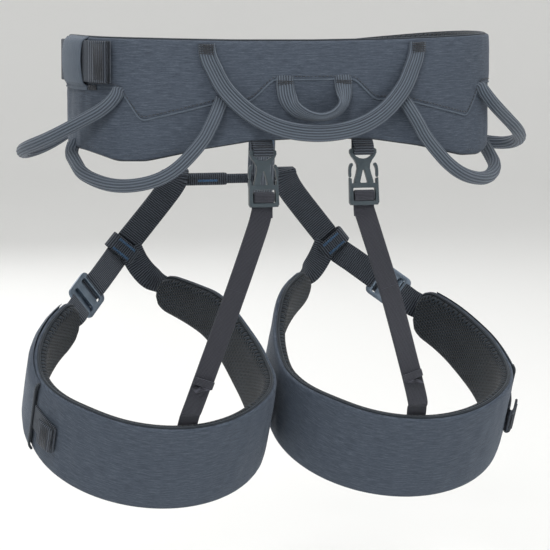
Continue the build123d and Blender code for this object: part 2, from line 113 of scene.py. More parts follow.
def make_studio():
    """A pale floor that curves up all round into a backdrop, soft lights and a pale sky."""
    floor_z = cad_bounds[0][2] - 0.10
    profile = [(0.0, 0.0), (2.0, 0.0), (4.4, 0.0), (5.0, 0.1), (5.6, 0.5), (5.9, 1.2), (6.0, 4.2)]
    turns = 48
    verts, faces = [], []
    for radius, height in profile:
        for step in range(turns):
            angle = 2 * pi * step / turns
            verts.append((radius * cos(angle), radius * sin(angle), floor_z + height))
    for row in range(len(profile) - 1):
        for step in range(turns):
            after = (step + 1) % turns
            faces.append((row * turns + step, row * turns + after,
                          (row + 1) * turns + after, (row + 1) * turns + step))
    mesh = bpy.data.meshes.new("studio_floor")
    mesh.from_pydata(verts, [], faces)
    mesh.shade_smooth()
    floor = bpy.data.objects.new("studio_floor", mesh)
    bpy.context.scene.collection.objects.link(floor)
    paper = bpy.data.materials.new("studio_paper")
    paper.use_nodes = True
    shader = paper.node_tree.nodes["Principled BSDF"]
    shader.inputs["Base Color"].default_value = (0.87, 0.87, 0.86, 1)
    shader.inputs["Roughness"].default_value = 0.9
    mesh.materials.append(paper)

    world = bpy.data.worlds.new("studio_world")
    world.use_nodes = True
    background = world.node_tree.nodes["Background"]
    background.inputs["Color"].default_value = (1.0, 1.0, 0.995, 1)
    background.inputs["Strength"].default_value = 0.66
    bpy.context.scene.world = world
    middle = (0, 0, -0.14)
    area_light("key_light", (1.3, 2.2, 1.7), middle, 1.3, 34)
    area_light("fill_light", (-2.0, 1.6, 0.5), middle, 1.8, 11)
    area_light("top_light", (0.0, 0.2, 2.3), middle, 1.6, 26)
    area_light("front_light", (0.3, -2.4, 0.9), middle, 1.8, 14)


make_camera()
make_studio()
bpy.context.scene.view_settings.view_transform = "Standard"


# ---------------------------------------------------------------- node helpers
class Graph:
    """A short way to write a material's nodes."""

    def __init__(self, name):
        self.material = bpy.data.materials.new(name)
        self.material.use_nodes = True
        self.tree = self.material.node_tree
        self.shader = self.tree.nodes["Principled BSDF"]

    def node(self, kind, **settings):
        made = self.tree.nodes.new(kind)
        for key, value in settings.items():
            setattr(made, key, value)
        return made

    def link(self, source, target):
        self.tree.links.new(source, target)

    def put(self, socket, value):
        if isinstance(value, bpy.types.NodeSocket):
            self.link(value, socket)
        else:
            socket.default_value = value

    def math(self, operation, a, b=0.0, c=0.0):
        made = self.node("ShaderNodeMath", operation=operation)
        self.put(made.inputs[0], a)
        self.put(made.inputs[1], b)
        self.put(made.inputs[2], c)
        return made.outputs[0]

    def strip(self):
        """Distance along and across the piece, in millimetres, from its own UV map."""
        uv = self.node("ShaderNodeUVMap", uv_map="strip")
        split = self.node("ShaderNodeSeparateXYZ")
        self.link(uv.outputs["UV"], split.inputs[0])
        return split.outputs["X"], split.outputs["Y"]

    def stretched(self, x, x_scale, y, y_scale):
        """A place for a noise texture, from two distances and their scales."""
        made = self.node("ShaderNodeCombineXYZ")
        self.put(made.inputs[0], self.math("MULTIPLY", x, x_scale))
        self.put(made.inputs[1], self.math("MULTIPLY", y, y_scale))
        return made.outputs[0]

    def place(self):
        """The piece's own coordinates, in metres."""
        return self.node("ShaderNodeTexCoord").outputs["Object"]

    def noise(self, vector, scale, detail=3.0, roughness=0.55):
        made = self.node("ShaderNodeTexNoise")
        self.put(made.inputs["Vector"], vector)
        made.inputs["Scale"].default_value = scale
        made.inputs["Detail"].default_value = detail
        made.inputs["Roughness"].default_value = roughness
        return made.outputs["Fac"]

    def wave(self, value, period):
        """0 to 1 and back along value, once every period."""
        turned = self.math("SINE", self.math("MULTIPLY", value, 2 * pi / period))
        return self.math("MULTIPLY_ADD", turned, 0.5, 0.5)

    def ramp(self, factor, stops):
        made = self.node("ShaderNodeValToRGB")
        elements = made.color_ramp.elements
        while len(elements) < len(stops):
            elements.new(0.5)
        for element, (position, colour) in zip(elements, stops):
            element.position = position
            element.color = (*colour, 1)
        self.put(made.inputs[0], factor)
        return made.outputs["Color"]

    def mix(self, factor, a, b):
        made = self.node("ShaderNodeMix", data_type="RGBA")
        self.put(made.inputs[0], factor)
        for socket, value in ((made.inputs[6], a), (made.inputs[7], b)):
            self.put(socket, (*value, 1) if isinstance(value, tuple) else value)
        return made.outputs[2]

    def bump(self, height, strength, distance, below=None):
        made = self.node("ShaderNodeBump")
        made.inputs["Strength"].default_value = strength
        made.inputs["Distance"].default_value = distance
        self.put(made.inputs["Height"], height)
        if below is not None:
            self.link(below, made.inputs["Normal"])
        return made.outputs["Normal"]

    def finish(self, colour, roughness, normal=None, **constants):
        self.put(self.shader.inputs["Base Color"], colour)
        self.put(self.shader.inputs["Roughness"], roughness)
        if normal is not None:
            self.link(normal, self.shader.inputs["Normal"])
        for key, value in constants.items():
            self.shader.inputs[key.replace("_", " ")].default_value = value
        return self.material


# ---------------------------------------------------------------- materials
def heather_fabric(name, dark, mid, light):
    """Woven shell fabric: fine threads, with paler melange streaks that run along the piece."""
    g = Graph(name)
    along, across = g.strip()
    streak = g.noise(g.stretched(along, 0.10, across, 1.15), 1.0, 4, 0.65)
    thread = g.noise(g.stretched(along, 0.45, across, 3.2), 1.0, 2, 0.6)
    blotch = g.noise(g.place(), 22.0, 3)
    both = g.math("ADD", g.math("MULTIPLY", streak, 0.62), g.math("MULTIPLY", thread, 0.38))
    colour = g.ramp(both, [(0.36, dark), (0.5, mid), (0.66, light)])
    weft = g.wave(along, 0.62)
    warp = g.wave(across, 0.62)
    weave = g.math("MULTIPLY", weft, warp)
    colour = g.mix(g.math("MULTIPLY_ADD", weave, -0.30, 0.30), colour, dark)
    colour = g.mix(g.math("MULTIPLY_ADD", blotch, 0.35, -0.08), colour, dark)
    normal = g.bump(weave, 0.35, 0.0003)
    normal = g.bump(streak, 0.25, 0.0004, normal)
    rough = g.math("MULTIPLY_ADD", thread, 0.25, 0.62)
    return g.finish(colour, rough, normal, Sheen_Weight=0.2, Sheen_Roughness=0.3,
                    Sheen_Tint=(0.62, 0.70, 0.82, 1), Specular_IOR_Level=0.25)


def spacer_mesh(name, dark, mid, hole_shade):
    """Knitted spacer mesh: staggered round holes between raised knit ribs; the holes are painted near black
    as the shade down in them.
    """
    g = Graph(name)
    along, across = g.strip()
    pitch_x, pitch_y = 4.4, 3.0

    def lattice(shift):
        x = g.math("FRACT", g.math("MULTIPLY_ADD", along, 1 / pitch_x, shift))
        y = g.math("FRACT", g.math("MULTIPLY_ADD", across, 1 / pitch_y, shift))
        x = g.math("MULTIPLY", g.math("SUBTRACT", x, 0.5), pitch_x)
        y = g.math("MULTIPLY", g.math("SUBTRACT", y, 0.5), pitch_y)
        return g.math("SQRT", g.math("ADD", g.math("MULTIPLY", x, x), g.math("MULTIPLY", y, y)))

    reach = g.math("MINIMUM", lattice(0.0), lattice(0.5))
    wobble = g.noise(g.place(), 420.0, 2)
    reach = g.math("ADD", reach, g.math("MULTIPLY_ADD", wobble, 0.5, -0.25))
    edge = g.node("ShaderNodeMapRange")
    g.link(reach, edge.inputs["Value"])
    edge.inputs["From Min"].default_value = 0.45
    edge.inputs["From Max"].default_value = 1.0
    solid = edge.outputs["Result"]
    knit = g.math("MULTIPLY", g.wave(along, 0.9), g.wave(across, 0.75))
    tone = g.noise(g.place(), 60.0, 3)
    body = g.ramp(g.math("MULTIPLY_ADD", knit, 0.5, g.math("MULTIPLY", tone, 0.5)),
                  [(0.2, dark), (0.75, mid)])
    # the holes get a near-black colour: painted shade
    colour = g.mix(solid, hole_shade, body)
    normal = g.bump(solid, 0.9, 0.0012)
    normal = g.bump(knit, 0.4, 0.0003, normal)
    return g.finish(colour, 0.82, normal, Sheen_Weight=0.12, Sheen_Roughness=0.5,
                    Specular_IOR_Level=0.2)


def ribbed_webbing(name, dark, light, period):
    """Flat woven webbing: ribs across it, bent into a fine chevron, and cords along it."""
    g = Graph(name)
    along, across = g.strip()
    zig = g.math("ABSOLUTE", g.math("SUBTRACT", g.math("FRACT", g.math("DIVIDE", across, 5.0)), 0.5))
    phase = g.math("MULTIPLY_ADD", zig, 0.35, along)
    rib = g.wave(phase, period)
    cord = g.wave(across, 1.05)
    fine = g.noise(g.stretched(along, 1.1, across, 1.6), 1.0, 3)
    height = g.math("MULTIPLY_ADD", cord, 0.18, rib)
    tone = g.math("ADD", g.math("MULTIPLY", height, 0.52), g.math("MULTIPLY", fine, 0.38))
    colour = g.ramp(tone, [(0.30, dark), (0.88, light)])
    fade = g.noise(g.place(), 35.0, 2)
    colour = g.mix(g.math("MULTIPLY_ADD", fade, 0.5, -0.12), colour, dark)
    normal = g.bump(height, 0.9, 0.0008)
    return g.finish(colour, 0.72, normal, Sheen_Weight=0.2, Sheen_Roughness=0.4,
                    Sheen_Tint=(0.7, 0.76, 0.85, 1), Specular_IOR_Level=0.3)


def corded_webbing(name, dark, light, pitch):
    """Tubular webbing for loops: cords that run along it, with short stitches across each cord."""
    g = Graph(name)
    along, across = g.strip()
    cord = g.wave(across, pitch)
    lay = g.wave(g.math("MULTIPLY_ADD", across, 0.8, along), 0.85)
    fine = g.noise(g.stretched(along, 0.8, across, 2.5), 1.0, 3)
    tone = g.math("ADD", g.math("MULTIPLY", cord, 0.62), g.math("MULTIPLY", fine, 0.42))
    tone = g.math("MULTIPLY_ADD", lay, 0.10, tone)
    colour = g.ramp(tone, [(0.18, dark), (0.92, light)])
    normal = g.bump(g.math("MULTIPLY_ADD", lay, 0.25, cord), 0.65, 0.0006)
    return g.finish(colour, 0.66, normal, Sheen_Weight=0.22, Sheen_Roughness=0.4,
                    Sheen_Tint=(0.7, 0.76, 0.85, 1), Specular_IOR_Level=0.3)


def moulded_plastic(name, colour, light):
    g = Graph(name)
    grain = g.noise(g.place(), 900.0, 4)
    cloud = g.noise(g.place(), 90.0, 3)
    tone = g.ramp(g.math("MULTIPLY_ADD", cloud, 0.6, g.math("MULTIPLY", grain, 0.4)),
                  [(0.3, colour), (0.75, light)])
    normal = g.bump(grain, 0.25, 0.00012)
    rough = g.math("MULTIPLY_ADD", grain, 0.18, 0.32)
    return g.finish(tone, rough, normal, Specular_IOR_Level=0.45)


def anodised_metal(name, colour, light):
    g = Graph(name)
    scratch = g.node("ShaderNodeMapping")
    scratch.inputs["Scale"].default_value = (1, 14, 1)
    g.link(g.place(), scratch.inputs["Vector"])
    brushed = g.noise(scratch.outputs["Vector"], 260.0, 4)
    worn = g.noise(g.place(), 120.0, 4)
    tone = g.ramp(g.math("MULTIPLY_ADD", brushed, 0.5, g.math("MULTIPLY", worn, 0.5)),
                  [(0.35, colour), (0.7, light)])
    normal = g.bump(brushed, 0.12, 0.0001)
    rough = g.math("MULTIPLY_ADD", worn, 0.25, 0.26)
    return g.finish(tone, rough, normal, Metallic=0.85)


def sewing_thread(name, colour, light):
    g = Graph(name)
    twist = g.noise(g.place(), 1500.0, 2)
    tone = g.ramp(twist, [(0.35, colour), (0.65, light)])
    return g.finish(tone, 0.6, g.bump(twist, 0.5, 0.0001), Sheen_Weight=0.2)


SHELL = heather_fabric("shell_fabric", (0.036, 0.046, 0.064), (0.066, 0.083, 0.112), (0.120, 0.147, 0.185))
# the mesh's last colour is the painted shade in its holes
MESH = spacer_mesh("spacer_mesh", (0.014, 0.019, 0.025), (0.036, 0.048, 0.062), (0.002, 0.003, 0.004))
WEBBING = ribbed_webbing("webbing", (0.009, 0.012, 0.018), (0.100, 0.118, 0.148), period=1.7)
TIE_IN = ribbed_webbing("tie_in_webbing", (0.020, 0.025, 0.034), (0.095, 0.115, 0.145), period=1.6)
BELAY = corded_webbing("belay_webbing", (0.030, 0.037, 0.048), (0.150, 0.175, 0.210), 2.0)
LOOPS = corded_webbing("gear_loop_webbing", (0.024, 0.031, 0.043), (0.112, 0.137, 0.172), CORD_PITCH)
ELASTIC = ribbed_webbing("elastic", (0.022, 0.023, 0.031), (0.078, 0.080, 0.102), period=0.9)
# A lighter copy of the shell fabric, used as painted sheen and highlight where the seam edge and the waist
# keeper catch the light.
PAINTED_SHEEN_SHELL = heather_fabric("shell_painted_sheen", (0.060, 0.076, 0.100), (0.095, 0.118, 0.150), (0.140, 0.168, 0.205))
EDGE = corded_webbing("edge_binding", (0.008, 0.011, 0.015), (0.030, 0.040, 0.052), 1.0)
PLASTIC = moulded_plastic("buckle_plastic", (0.024, 0.036, 0.045), (0.052, 0.072, 0.085))
METAL = anodised_metal("buckle_metal", (0.12, 0.16, 0.21), (0.24, 0.29, 0.35))
THREAD = sewing_thread("dark_thread", (0.006, 0.008, 0.012), (0.022, 0.028, 0.040))
BLUE_THREAD = sewing_thread("blue_thread", (0.012, 0.055, 0.13), (0.04, 0.13, 0.26))


# ---------------------------------------------------------------- mesh helpers
def add_piece(name, mesh, material, body, replaced=()):
    piece = bpy.data.objects.new(name, mesh)
    bpy.context.scene.collection.objects.link(piece)
    mesh.materials.append(material)
    if body:
        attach(piece, body)
    if replaced:
        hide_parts(*replaced)
    return piece


def loft_mesh(name, rings, closed=False, sharp=50, around=None, levels=None):
    """A skin over rings of points in metres, with distances along and across in a UV map in mm.

    around, if it is given, is the distance counted once round each ring. levels, if they are given,
    are the heights of the points, which then stand for the distance across.
    """
    count, size = len(rings), len(rings[0])
    middles = [sum(ring, Vector()) / size for ring in rings]
    along = [0.0]
    for a, b in zip(middles, middles[1:]):
        along.append(along[-1] + (b - a).length / MM)
    along.append(along[-1] + (middles[0] - middles[-1]).length / MM)
    bm = bmesh.new()
    uv = bm.loops.layers.uv.new("strip")
    verts = [[bm.verts.new(point) for point in ring] for ring in rings]
    across = []
    for ring in rings:
        reach = [0.0]
        for k in range(size):
            reach.append(reach[-1] + (ring[(k + 1) % size] - ring[k]).length / MM)
        if around:
            reach = [around * k / size for k in range(size + 1)]
        across.append([distance + CORD_PITCH / 4 for distance in reach])
    if levels:
        across = [[*row, row[0]] for row in levels]
    for i in range(count if closed else count - 1):
        j = (i + 1) % count
        for k in range(size):
            m = (k + 1) % size
            face = bm.faces.new((verts[i][k], verts[i][m], verts[j][m], verts[j][k]))
            places = ((along[i], across[i][k]), (along[i], across[i][k + 1]),
                      (along[i + 1], across[j][k + 1]), (along[i + 1], across[j][k]))
            for loop, place in zip(face.loops, places):
                loop[uv].uv = place
    if not closed:
        for ring, row, distance in ((verts[0], rings[0], 0.0), (verts[-1], rings[-1], along[count - 1])):
            face = bm.faces.new(ring)
            for loop, point in zip(face.loops, row):
                loop[uv].uv = (distance + (point - row[0]).length / MM * 0.5, (point - row[0]).length / MM)
    bmesh.ops.recalc_face_normals(bm, faces=bm.faces)
    mesh = bpy.data.meshes.new(name)
    bm.to_mesh(mesh)
    bm.free()
    mesh.shade_smooth()
    mesh.set_sharp_from_angle(angle=radians(sharp))
    return mesh


def add_loft(name, rings, material, body, slot, replaced=(), **options):
    """A piece whose skin is lofted over rings; options are those of loft_mesh."""
    return add_piece(name, loft_mesh(name, rings, **options), material, body, replaced)


def catmull(values, place):
    """A smooth curve through a list of vectors, at a place counted in list steps."""
    last = len(values) - 1
    index = min(int(place), last - 1)
    t = place - index
    p1, p2 = values[index], values[index + 1]
    p0 = values[index - 1] if index > 0 else p1 * 2 - p2
    p3 = values[index + 2] if index + 2 <= last else p2 * 2 - p1
    return 0.5 * ((2 * p1) + (p2 - p0) * t + (2 * p0 - 5 * p1 + 4 * p2 - p3) * t * t
                  + (3 * p1 - p0 - 3 * p2 + p3) * t * t * t)


def smooth_route(route, gap=2.0):
    """Stations about a gap apart, in mm, along a smooth curve through a route's points and facings."""
    points = [Vector(point) for point, facing in route]
    facings = [Vector(facing).normalized() for point, facing in route]
    stations = []
    for index, (a, b) in enumerate(zip(points, points[1:])):
        steps = max(2, round((b - a).length / gap))
        for step in range(steps):
            place = index + step / steps
            stations.append((catmull(points, place), catmull(facings, place)))
    stations.append((points[-1], facings[-1]))
    return stations


def flat_section(width, thick, cords=0, depth=0.0, steps=20):
    """A flat strap's outline as (across, out): two faces, which may be corded, and rounded edges."""
    half = width / 2 - thick / 2
    section = []
    for way in (1, -1):
        for step in range(steps + 1):
            t = step / steps
            swell = depth * cos(2 * pi * cords * t) if cords else 0.0
            section.append((way * (-half + 2 * half * t), way * (thick / 2 + swell * (0.02 < t < 0.98))))
        for step in range(1, 5):
            angle = pi / 2 - pi * step / 5
            section.append((way * (half + thick / 2 * cos(angle)), way * thick / 2 * sin(angle)))
    return section


def round_section(width, thick, cords=14, depth=0.35, steps=84):
    """A tube's outline with cords along it."""
    section = []
    for step in range(steps):
        angle = 2 * pi * step / steps
        swell = depth * cos(cords * angle)
        section.append(((width / 2 + swell) * cos(angle), (thick / 2 + swell) * sin(angle)))
    return section


def strap_rings(stations, section_at):
    """Rings in metres for a strap along its stations; section_at gives the outline at a share of it."""
    rings = []
    last = len(stations) - 1
    for index, (point, facing) in enumerate(stations):
        before, after = stations[max(index - 1, 0)][0], stations[min(index + 1, last)][0]
        run = (after - before).normalized()
        across = run.cross(facing).normalized()
        out = across.cross(run).normalized()
        rings.append([(point + across * a + out * b) * MM for a, b in section_at(index / last)])
    return rings


def flat_moulding(name, outer, holes, plane, thick, material, body, replaced=(), round_edge=0.45):
    """A moulded flat piece with eased edges: outlines in mm on a plane, (origin, across, up, out)."""
    curve = bpy.data.curves.new(name + "_outline", "CURVE")
    curve.dimensions = "2D"
    curve.fill_mode = "BOTH"
    curve.extrude = thick / 2 - round_edge
    curve.bevel_depth = round_edge
    curve.bevel_resolution = 2
    curve.offset = -round_edge
    for outline in (outer, *holes):
        spline = curve.splines.new("POLY")
        spline.points.add(len(outline) - 1)
        spline.use_cyclic_u = True
        for point, place in zip(spline.points, outline):
            point.co = (place[0], place[1], 0, 1)
    shape = bpy.data.objects.new(name + "_outline", curve)
    bpy.context.scene.collection.objects.link(shape)
    graph = bpy.context.evaluated_depsgraph_get()
    mesh = bpy.data.meshes.new_from_object(shape.evaluated_get(graph))
    bpy.data.objects.remove(shape)
    origin, across, up, out = plane
    for vertex in mesh.vertices:
        x, y, z = vertex.co
        vertex.co = (origin + across * x + up * y + out * z) * MM
    mesh.materials.clear()
    bm = bmesh.new()
    bm.from_mesh(mesh)
    bmesh.ops.remove_doubles(bm, verts=bm.verts, dist=0.01 * MM)
    bmesh.ops.recalc_face_normals(bm, faces=bm.faces)
    bm.to_mesh(mesh)
    bm.free()
    mesh.shade_smooth()
    mesh.set_sharp_from_angle(angle=radians(40))
    mesh.name = name
    return add_piece(name, mesh, material, body, replaced)


def sideways(vector):
    """The direction round the waist, to the left of a level direction that faces outwards."""
    return Vector((-vector.y, vector.x, 0))


def strap(name, route, width, thick, material, body, slot, replaced=(), cords=0, depth=0.0, gap=2.0):
    section = flat_section(width, thick, cords, depth)
    rings = strap_rings(smooth_route(route, gap), lambda share: section)
    return add_loft(name, rings, material, body, slot, replaced)


def on_side(route, side):
    """A route of (point, facing) for the wearer's left, or its mirror image for the right."""
    return [((p[0] * side, p[1], p[2]), (f[0] * side, f[1], f[2])) for p, f in route]


def threads(name, runs, radius, material, body):
    """Short pieces of thread, each from one point to another, in mm."""
    bm = bmesh.new()
    for start, finish in runs:
        start, finish = Vector(start), Vector(finish)
        run = (finish - start).normalized()
        side = run.orthogonal().normalized()
        other = run.cross(side)
        loops = []
        for point, size in ((start, 0.45), (start + run * radius, 1.0),
                            (finish - run * radius, 1.0), (finish, 0.45)):
            loops.append([bm.verts.new((point + (side * cos(a) + other * sin(a)) * radius * size) * MM)
                          for a in (radians(60 * step) for step in range(6))])
        for a, b in zip(loops, loops[1:]):
            for k in range(6):
                bm.faces.new((a[k], a[(k + 1) % 6], b[(k + 1) % 6], b[k]))
        bm.faces.new(loops[0][::-1])
        bm.faces.new(loops[-1])
    bmesh.ops.recalc_face_normals(bm, faces=bm.faces)
    mesh = bpy.data.meshes.new(name)
    bm.to_mesh(mesh)
    bm.free()
    mesh.shade_smooth()
    return add_piece(name, mesh, material, body)


def stitch_row(points, length=1.9, gap=1.0):
    """Stitches along a line of points, as runs for threads()."""
    runs = []
    points = [Vector(p) for p in points]
    carry = 0.0
    total = 0.0
    marks = [0.0]
    for a, b in zip(points, points[1:]):
        total += (b - a).length
        marks.append(total)

    def at(distance):
        for index in range(len(marks) - 1):
            if distance <= marks[index + 1]:
                share = (distance - marks[index]) / max(marks[index + 1] - marks[index], 1e-6)
                return points[index].lerp(points[index + 1], share)
        return points[-1]

    while carry + length < total:
        runs.append((at(carry), at(carry + length)))
        carry += length + gap
    return runs


def bar_tack(centre, along, across, length, width, lines):
    """A bar tack: close threads across a short stretch, as runs for threads()."""
    centre, along, across = Vector(centre), Vector(along).normalized(), Vector(across).normalized()
    runs = []
    for index in range(lines):
        place = centre + along * (length * (index / (lines - 1) - 0.5))
        lean = along * (0.35 if index % 2 else -0.35)
        runs.append((place - across * width / 2 - lean, place + across * width / 2 + lean))
    return runs


BODY_OF = {node: body for body, nodes in frame["record"]["behaviour"]["bodies"].items() for node in nodes}


def bevelled(node, material, width=0.4):
    """The CAD piece with its sharp edges eased."""
    bm = bmesh.new()
    bm.from_mesh(frame["nodes"][node].data)
    bmesh.ops.remove_doubles(bm, verts=bm.verts, dist=0.01 * MM)
    bmesh.ops.dissolve_limit(bm, angle_limit=radians(1), verts=bm.verts, edges=bm.edges)
    edges = [edge for edge in bm.edges if edge.is_manifold and edge.calc_face_angle(0) > radians(35)]
    bmesh.ops.bevel(bm, geom=edges, offset=width * MM, segments=2, profile=0.6, affect="EDGES",
                    clamp_overlap=True)
    bmesh.ops.triangulate(bm, faces=[face for face in bm.faces if len(face.verts) > 4])
    mesh = bpy.data.meshes.new(node + "_eased")
    bm.to_mesh(mesh)
    bm.free()
    mesh.shade_smooth()
    mesh.set_sharp_from_angle(angle=radians(32))
    return add_piece(node + "_eased", mesh, material, BODY_OF[node], (node,))


# ---------------------------------------------------------------- belt
WAIST_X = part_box("belt_upper_panel")[1].x / MM
WAIST_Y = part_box("belt_upper_panel")[1].y / MM
BACK_SQUARE = 3.0           # power of the squarer back half; an ellipse has 2
SIDE_X = 162                # where the edges of the back and of the front meet, at the side

# Edges of the belt as (x, z) in mm on the wearer's left; the right is the same.
BACK_TOP = [(0, 38.7), (60, 39.2), (120, 40.5), (SIDE_X, 41.0)]
BACK_BOTTOM = [(0, -30.5), (46, -32.0), (83, -37.5), (121, -46.0), (139, -46.5), (157, -39.5),
               (SIDE_X, -39.5)]
BACK_SEAM = [(0, 11), (30.5, 11), (46.4, -4), (66.8, -4), (122.9, -18), (136, 5), (143.4, 6), (SIDE_X, 4)]
FRONT_TOP = [(0, 28.5), (60, 29.5), (120, 36.0), (SIDE_X, 41.0)]
FRONT_BOTTOM = [(0, -16.0), (78, -16.5), (120, -22.5), (146, -31.5), (157, -39.5), (SIDE_X, -39.5)]
FRONT_SEAM = [(0, -8), (78, -6), (125, -1), (SIDE_X, 4)]
FRONT_WEB_MID = [(0, 9.0), (60, 9.5), (120, 17.5), (SIDE_X, 24.0)]
SIDE_WEB_MID = [(0, 24.0), (SIDE_X, 24.0)]

BELT_FROM, BELT_TO = radians(-71.9), radians(287.3)     # the padded belt parts at the front
BELT_STEP = radians(1.0)


def table(points, x):
    for (xa, za), (xb, zb) in zip(points, points[1:]):
        if x <= xb:
            return za + (zb - za) * (x - xa) / (xb - xa)
    return points[-1][1]


def soft_table(points, x, reach=2.5):
    """The height at x, with the corners of the edge rounded off."""
    shares = (-1, -0.5, 0, 0.5, 1)
    return sum(table(points, abs(x + reach * share)) for share in shares) / len(shares)


def oval_reach(angle):
    """How far the waist's outline stands out beyond an ellipse: the back half is squarer."""
    if sin(angle) <= 0:
        return 1.0
    return (abs(cos(angle)) ** BACK_SQUARE + sin(angle) ** BACK_SQUARE) ** (-1 / BACK_SQUARE)


def belt_height(back, front, angle):
    """The height of an edge at an angle, from its tables for the back and the front half."""
    x = abs(WAIST_X * cos(angle) * oval_reach(angle))
    turn = min(1.0, max(0.0, 0.5 + 3.0 * sin(angle)))
    return soft_table(front, x) * (1 - turn) + soft_table(back, x) * turn


def belt_point(angle, rise, out=0.0):
    """A point in mm by its angle round the waist, its height and how far it stands out."""
    reach = oval_reach(angle)
    return Vector(((WAIST_X + out) * cos(angle) * reach, (WAIST_Y + out) * sin(angle) * reach, rise))


def belt_normal(angle):
    power = BACK_SQUARE - 1 if sin(angle) > 0 else 1.0
    x = abs(cos(angle)) ** power * (1 if cos(angle) > 0 else -1)
    y = abs(sin(angle)) ** power * (1 if sin(angle) > 0 else -1)
    return Vector((x / WAIST_X, y / WAIST_Y, 0)).normalized()


def back_angle(x):
    """The angle of the point of the back half that is at x."""
    share = abs(x) / WAIST_X
    return atan2((1 - share ** BACK_SQUARE) ** (1 / BACK_SQUARE), x / WAIST_X)


def angles(start, finish, step=BELT_STEP):
    count = max(2, round((finish - start) / step))
    return [start + (finish - start) * index / count for index in range(count + 1)]


def padded_rings(stations, place, outside, inside, swell, crease, seed, steps=26):
    """Rings and heights for a padded band with edges drawn in, from (angle, low edge, high edge)."""
    rings, levels = [], []
    depth = outside - inside
    for angle, low, high in stations:
        ring, heights = [], []
        for across, level in flat_section(high - low, depth, steps=steps):
            reach = min(1.0, abs(across) * 2 / (high - low))
            face = level * 2 / depth
            crown = swell * (1 - reach ** 5) * face
            fold = noise.noise(Vector((angle * 9, across * 0.030, seed)))
            fine = noise.noise(Vector((angle * 26, across * 0.075, seed + 5)))
            crown += crease * (fold + 0.45 * fine) * max(0.0, face) * (1 - reach ** 8)
            rise = (low + high) / 2 + across
            ring.append(place(angle, rise, (outside + inside) / 2 + level + crown) * MM)
            heights.append(rise)
        rings.append(ring)
        levels.append(heights)
    return rings, levels


def belt_band(name, low, high, outside, inside, swell, crease, material, slot, nodes, seed):
    """A padded band round the waist between two edges, each a (back, front, lift)."""
    stations = []
    for angle in angles(BELT_FROM, BELT_TO):
        stations.append((angle, belt_height(low[0], low[1], angle) + low[2],
                         belt_height(high[0], high[1], angle) + high[2]))
    rings, levels = padded_rings(stations, belt_point, outside, inside, swell, crease, seed)
    piece = add_loft(name, rings, material, "belt", slot, nodes, levels=levels)
    return piece


belt_band("belt_upper", (BACK_SEAM, FRONT_SEAM, 0), (BACK_TOP, FRONT_TOP, 0), 0.2, -2.6, 0.45, 0.45,
          SHELL, "shell_fabric", ("belt_upper_panel",), 3)
belt_band("belt_lower", (BACK_BOTTOM, FRONT_BOTTOM, 0), (BACK_SEAM, FRONT_SEAM, 3), -0.6, -3.2, 0.5, 0.6,
          SHELL, "shell_fabric", ("belt_lower_panel",), 11)
belt_band("belt_lining", (BACK_BOTTOM, FRONT_BOTTOM, 0.8), (BACK_TOP, FRONT_TOP, 0.4), -2.6, -9.0, 0.3, 0.2,
          MESH, "spacer_mesh", ("belt_foam_core", "belt_inner_mesh"), 19)


def belt_route(start, finish, middle, out, lift=0.0, step=BELT_STEP):
    """A route on the belt: middle is the (back, front) pair of tables of its height."""
    return [(belt_point(angle, belt_height(*middle, angle) + lift, out), belt_normal(angle))
            for angle in angles(start, finish, step)]


def belt_line(start, finish, middle, out, lift=0.0):
    return [point for point, facing in belt_route(start, finish, middle, out, lift, BELT_STEP / 2)]


seam = (BACK_SEAM, FRONT_SEAM)
# The rolled seam edge takes the lighter shell copy: a painted highlight along it.
strap("belt_seam_edge", belt_route(BELT_FROM, BELT_TO, seam, 0.35, 0.2), 1.3, 0.7, PAINTED_SHEEN_SHELL,
      "belt", "shell_fabric")
threads("belt_seam_stitches", stitch_row(belt_line(BELT_FROM, BELT_TO, seam, 0.5, 2.5)), 0.36,
        THREAD, "belt")
for word, edge, lift in (("top", (BACK_TOP, FRONT_TOP), 0.0), ("bottom", (BACK_BOTTOM, FRONT_BOTTOM), 0.3)):
    strap(f"belt_binding_{word}", [(point, (0, 0, 1)) for point, facing in
                                   belt_route(BELT_FROM, BELT_TO, edge, -3.2, lift)],
          3.0, 2.2, EDGE, "belt", "shell_fabric")
for word, edge, lift in (("top", (BACK_TOP, FRONT_TOP), -3.2), ("bottom", (BACK_BOTTOM, FRONT_BOTTOM), 3.4)):
    threads(f"belt_edge_stitches_{word}",
            stitch_row(belt_line(BELT_FROM, BELT_TO, edge, 0.12 if word == "top" else -0.55, lift)),
            0.2, THREAD, "belt")


# ---------------------------------------------------------------- waist webbing, keeper and buckle
def front_angle(x):
    return -acos(x / WAIST_X)


web_mid = (FRONT_WEB_MID, FRONT_WEB_MID)
tail_mid = (SIDE_WEB_MID, FRONT_WEB_MID)
STRAP_END_X = 141           # where the waist strap's end is folded, at the back on the left
BUCKLE_X = (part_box("waist_buckle_frame")[0].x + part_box("waist_buckle_frame")[1].x) / 2 / MM
WEB_SIDE_X = 152            # where the waist webbing starts, at each side
WEB_RIGHT_END = 50          # where the right webbing ends, under the left one
strap("waist_strap_right", belt_route(front_angle(-WEB_SIDE_X), front_angle(WEB_RIGHT_END), web_mid, 1.5),
      WAIST_STRAP_W, 1.8, WEBBING, "belt", "webbing", ("waist_webbing_right",))


def over_belt(stops):
    """A route at the front through (x, out, turn) stops; turn is the face's angle in degrees."""
    route = []
    for x, out, turn in stops:
        angle = front_angle(x)
        normal = belt_normal(angle)
        facing = normal * cos(radians(turn)) + sideways(normal) * sin(radians(turn))
        route.append((belt_point(angle, table(FRONT_WEB_MID, x), out), facing))
    return route


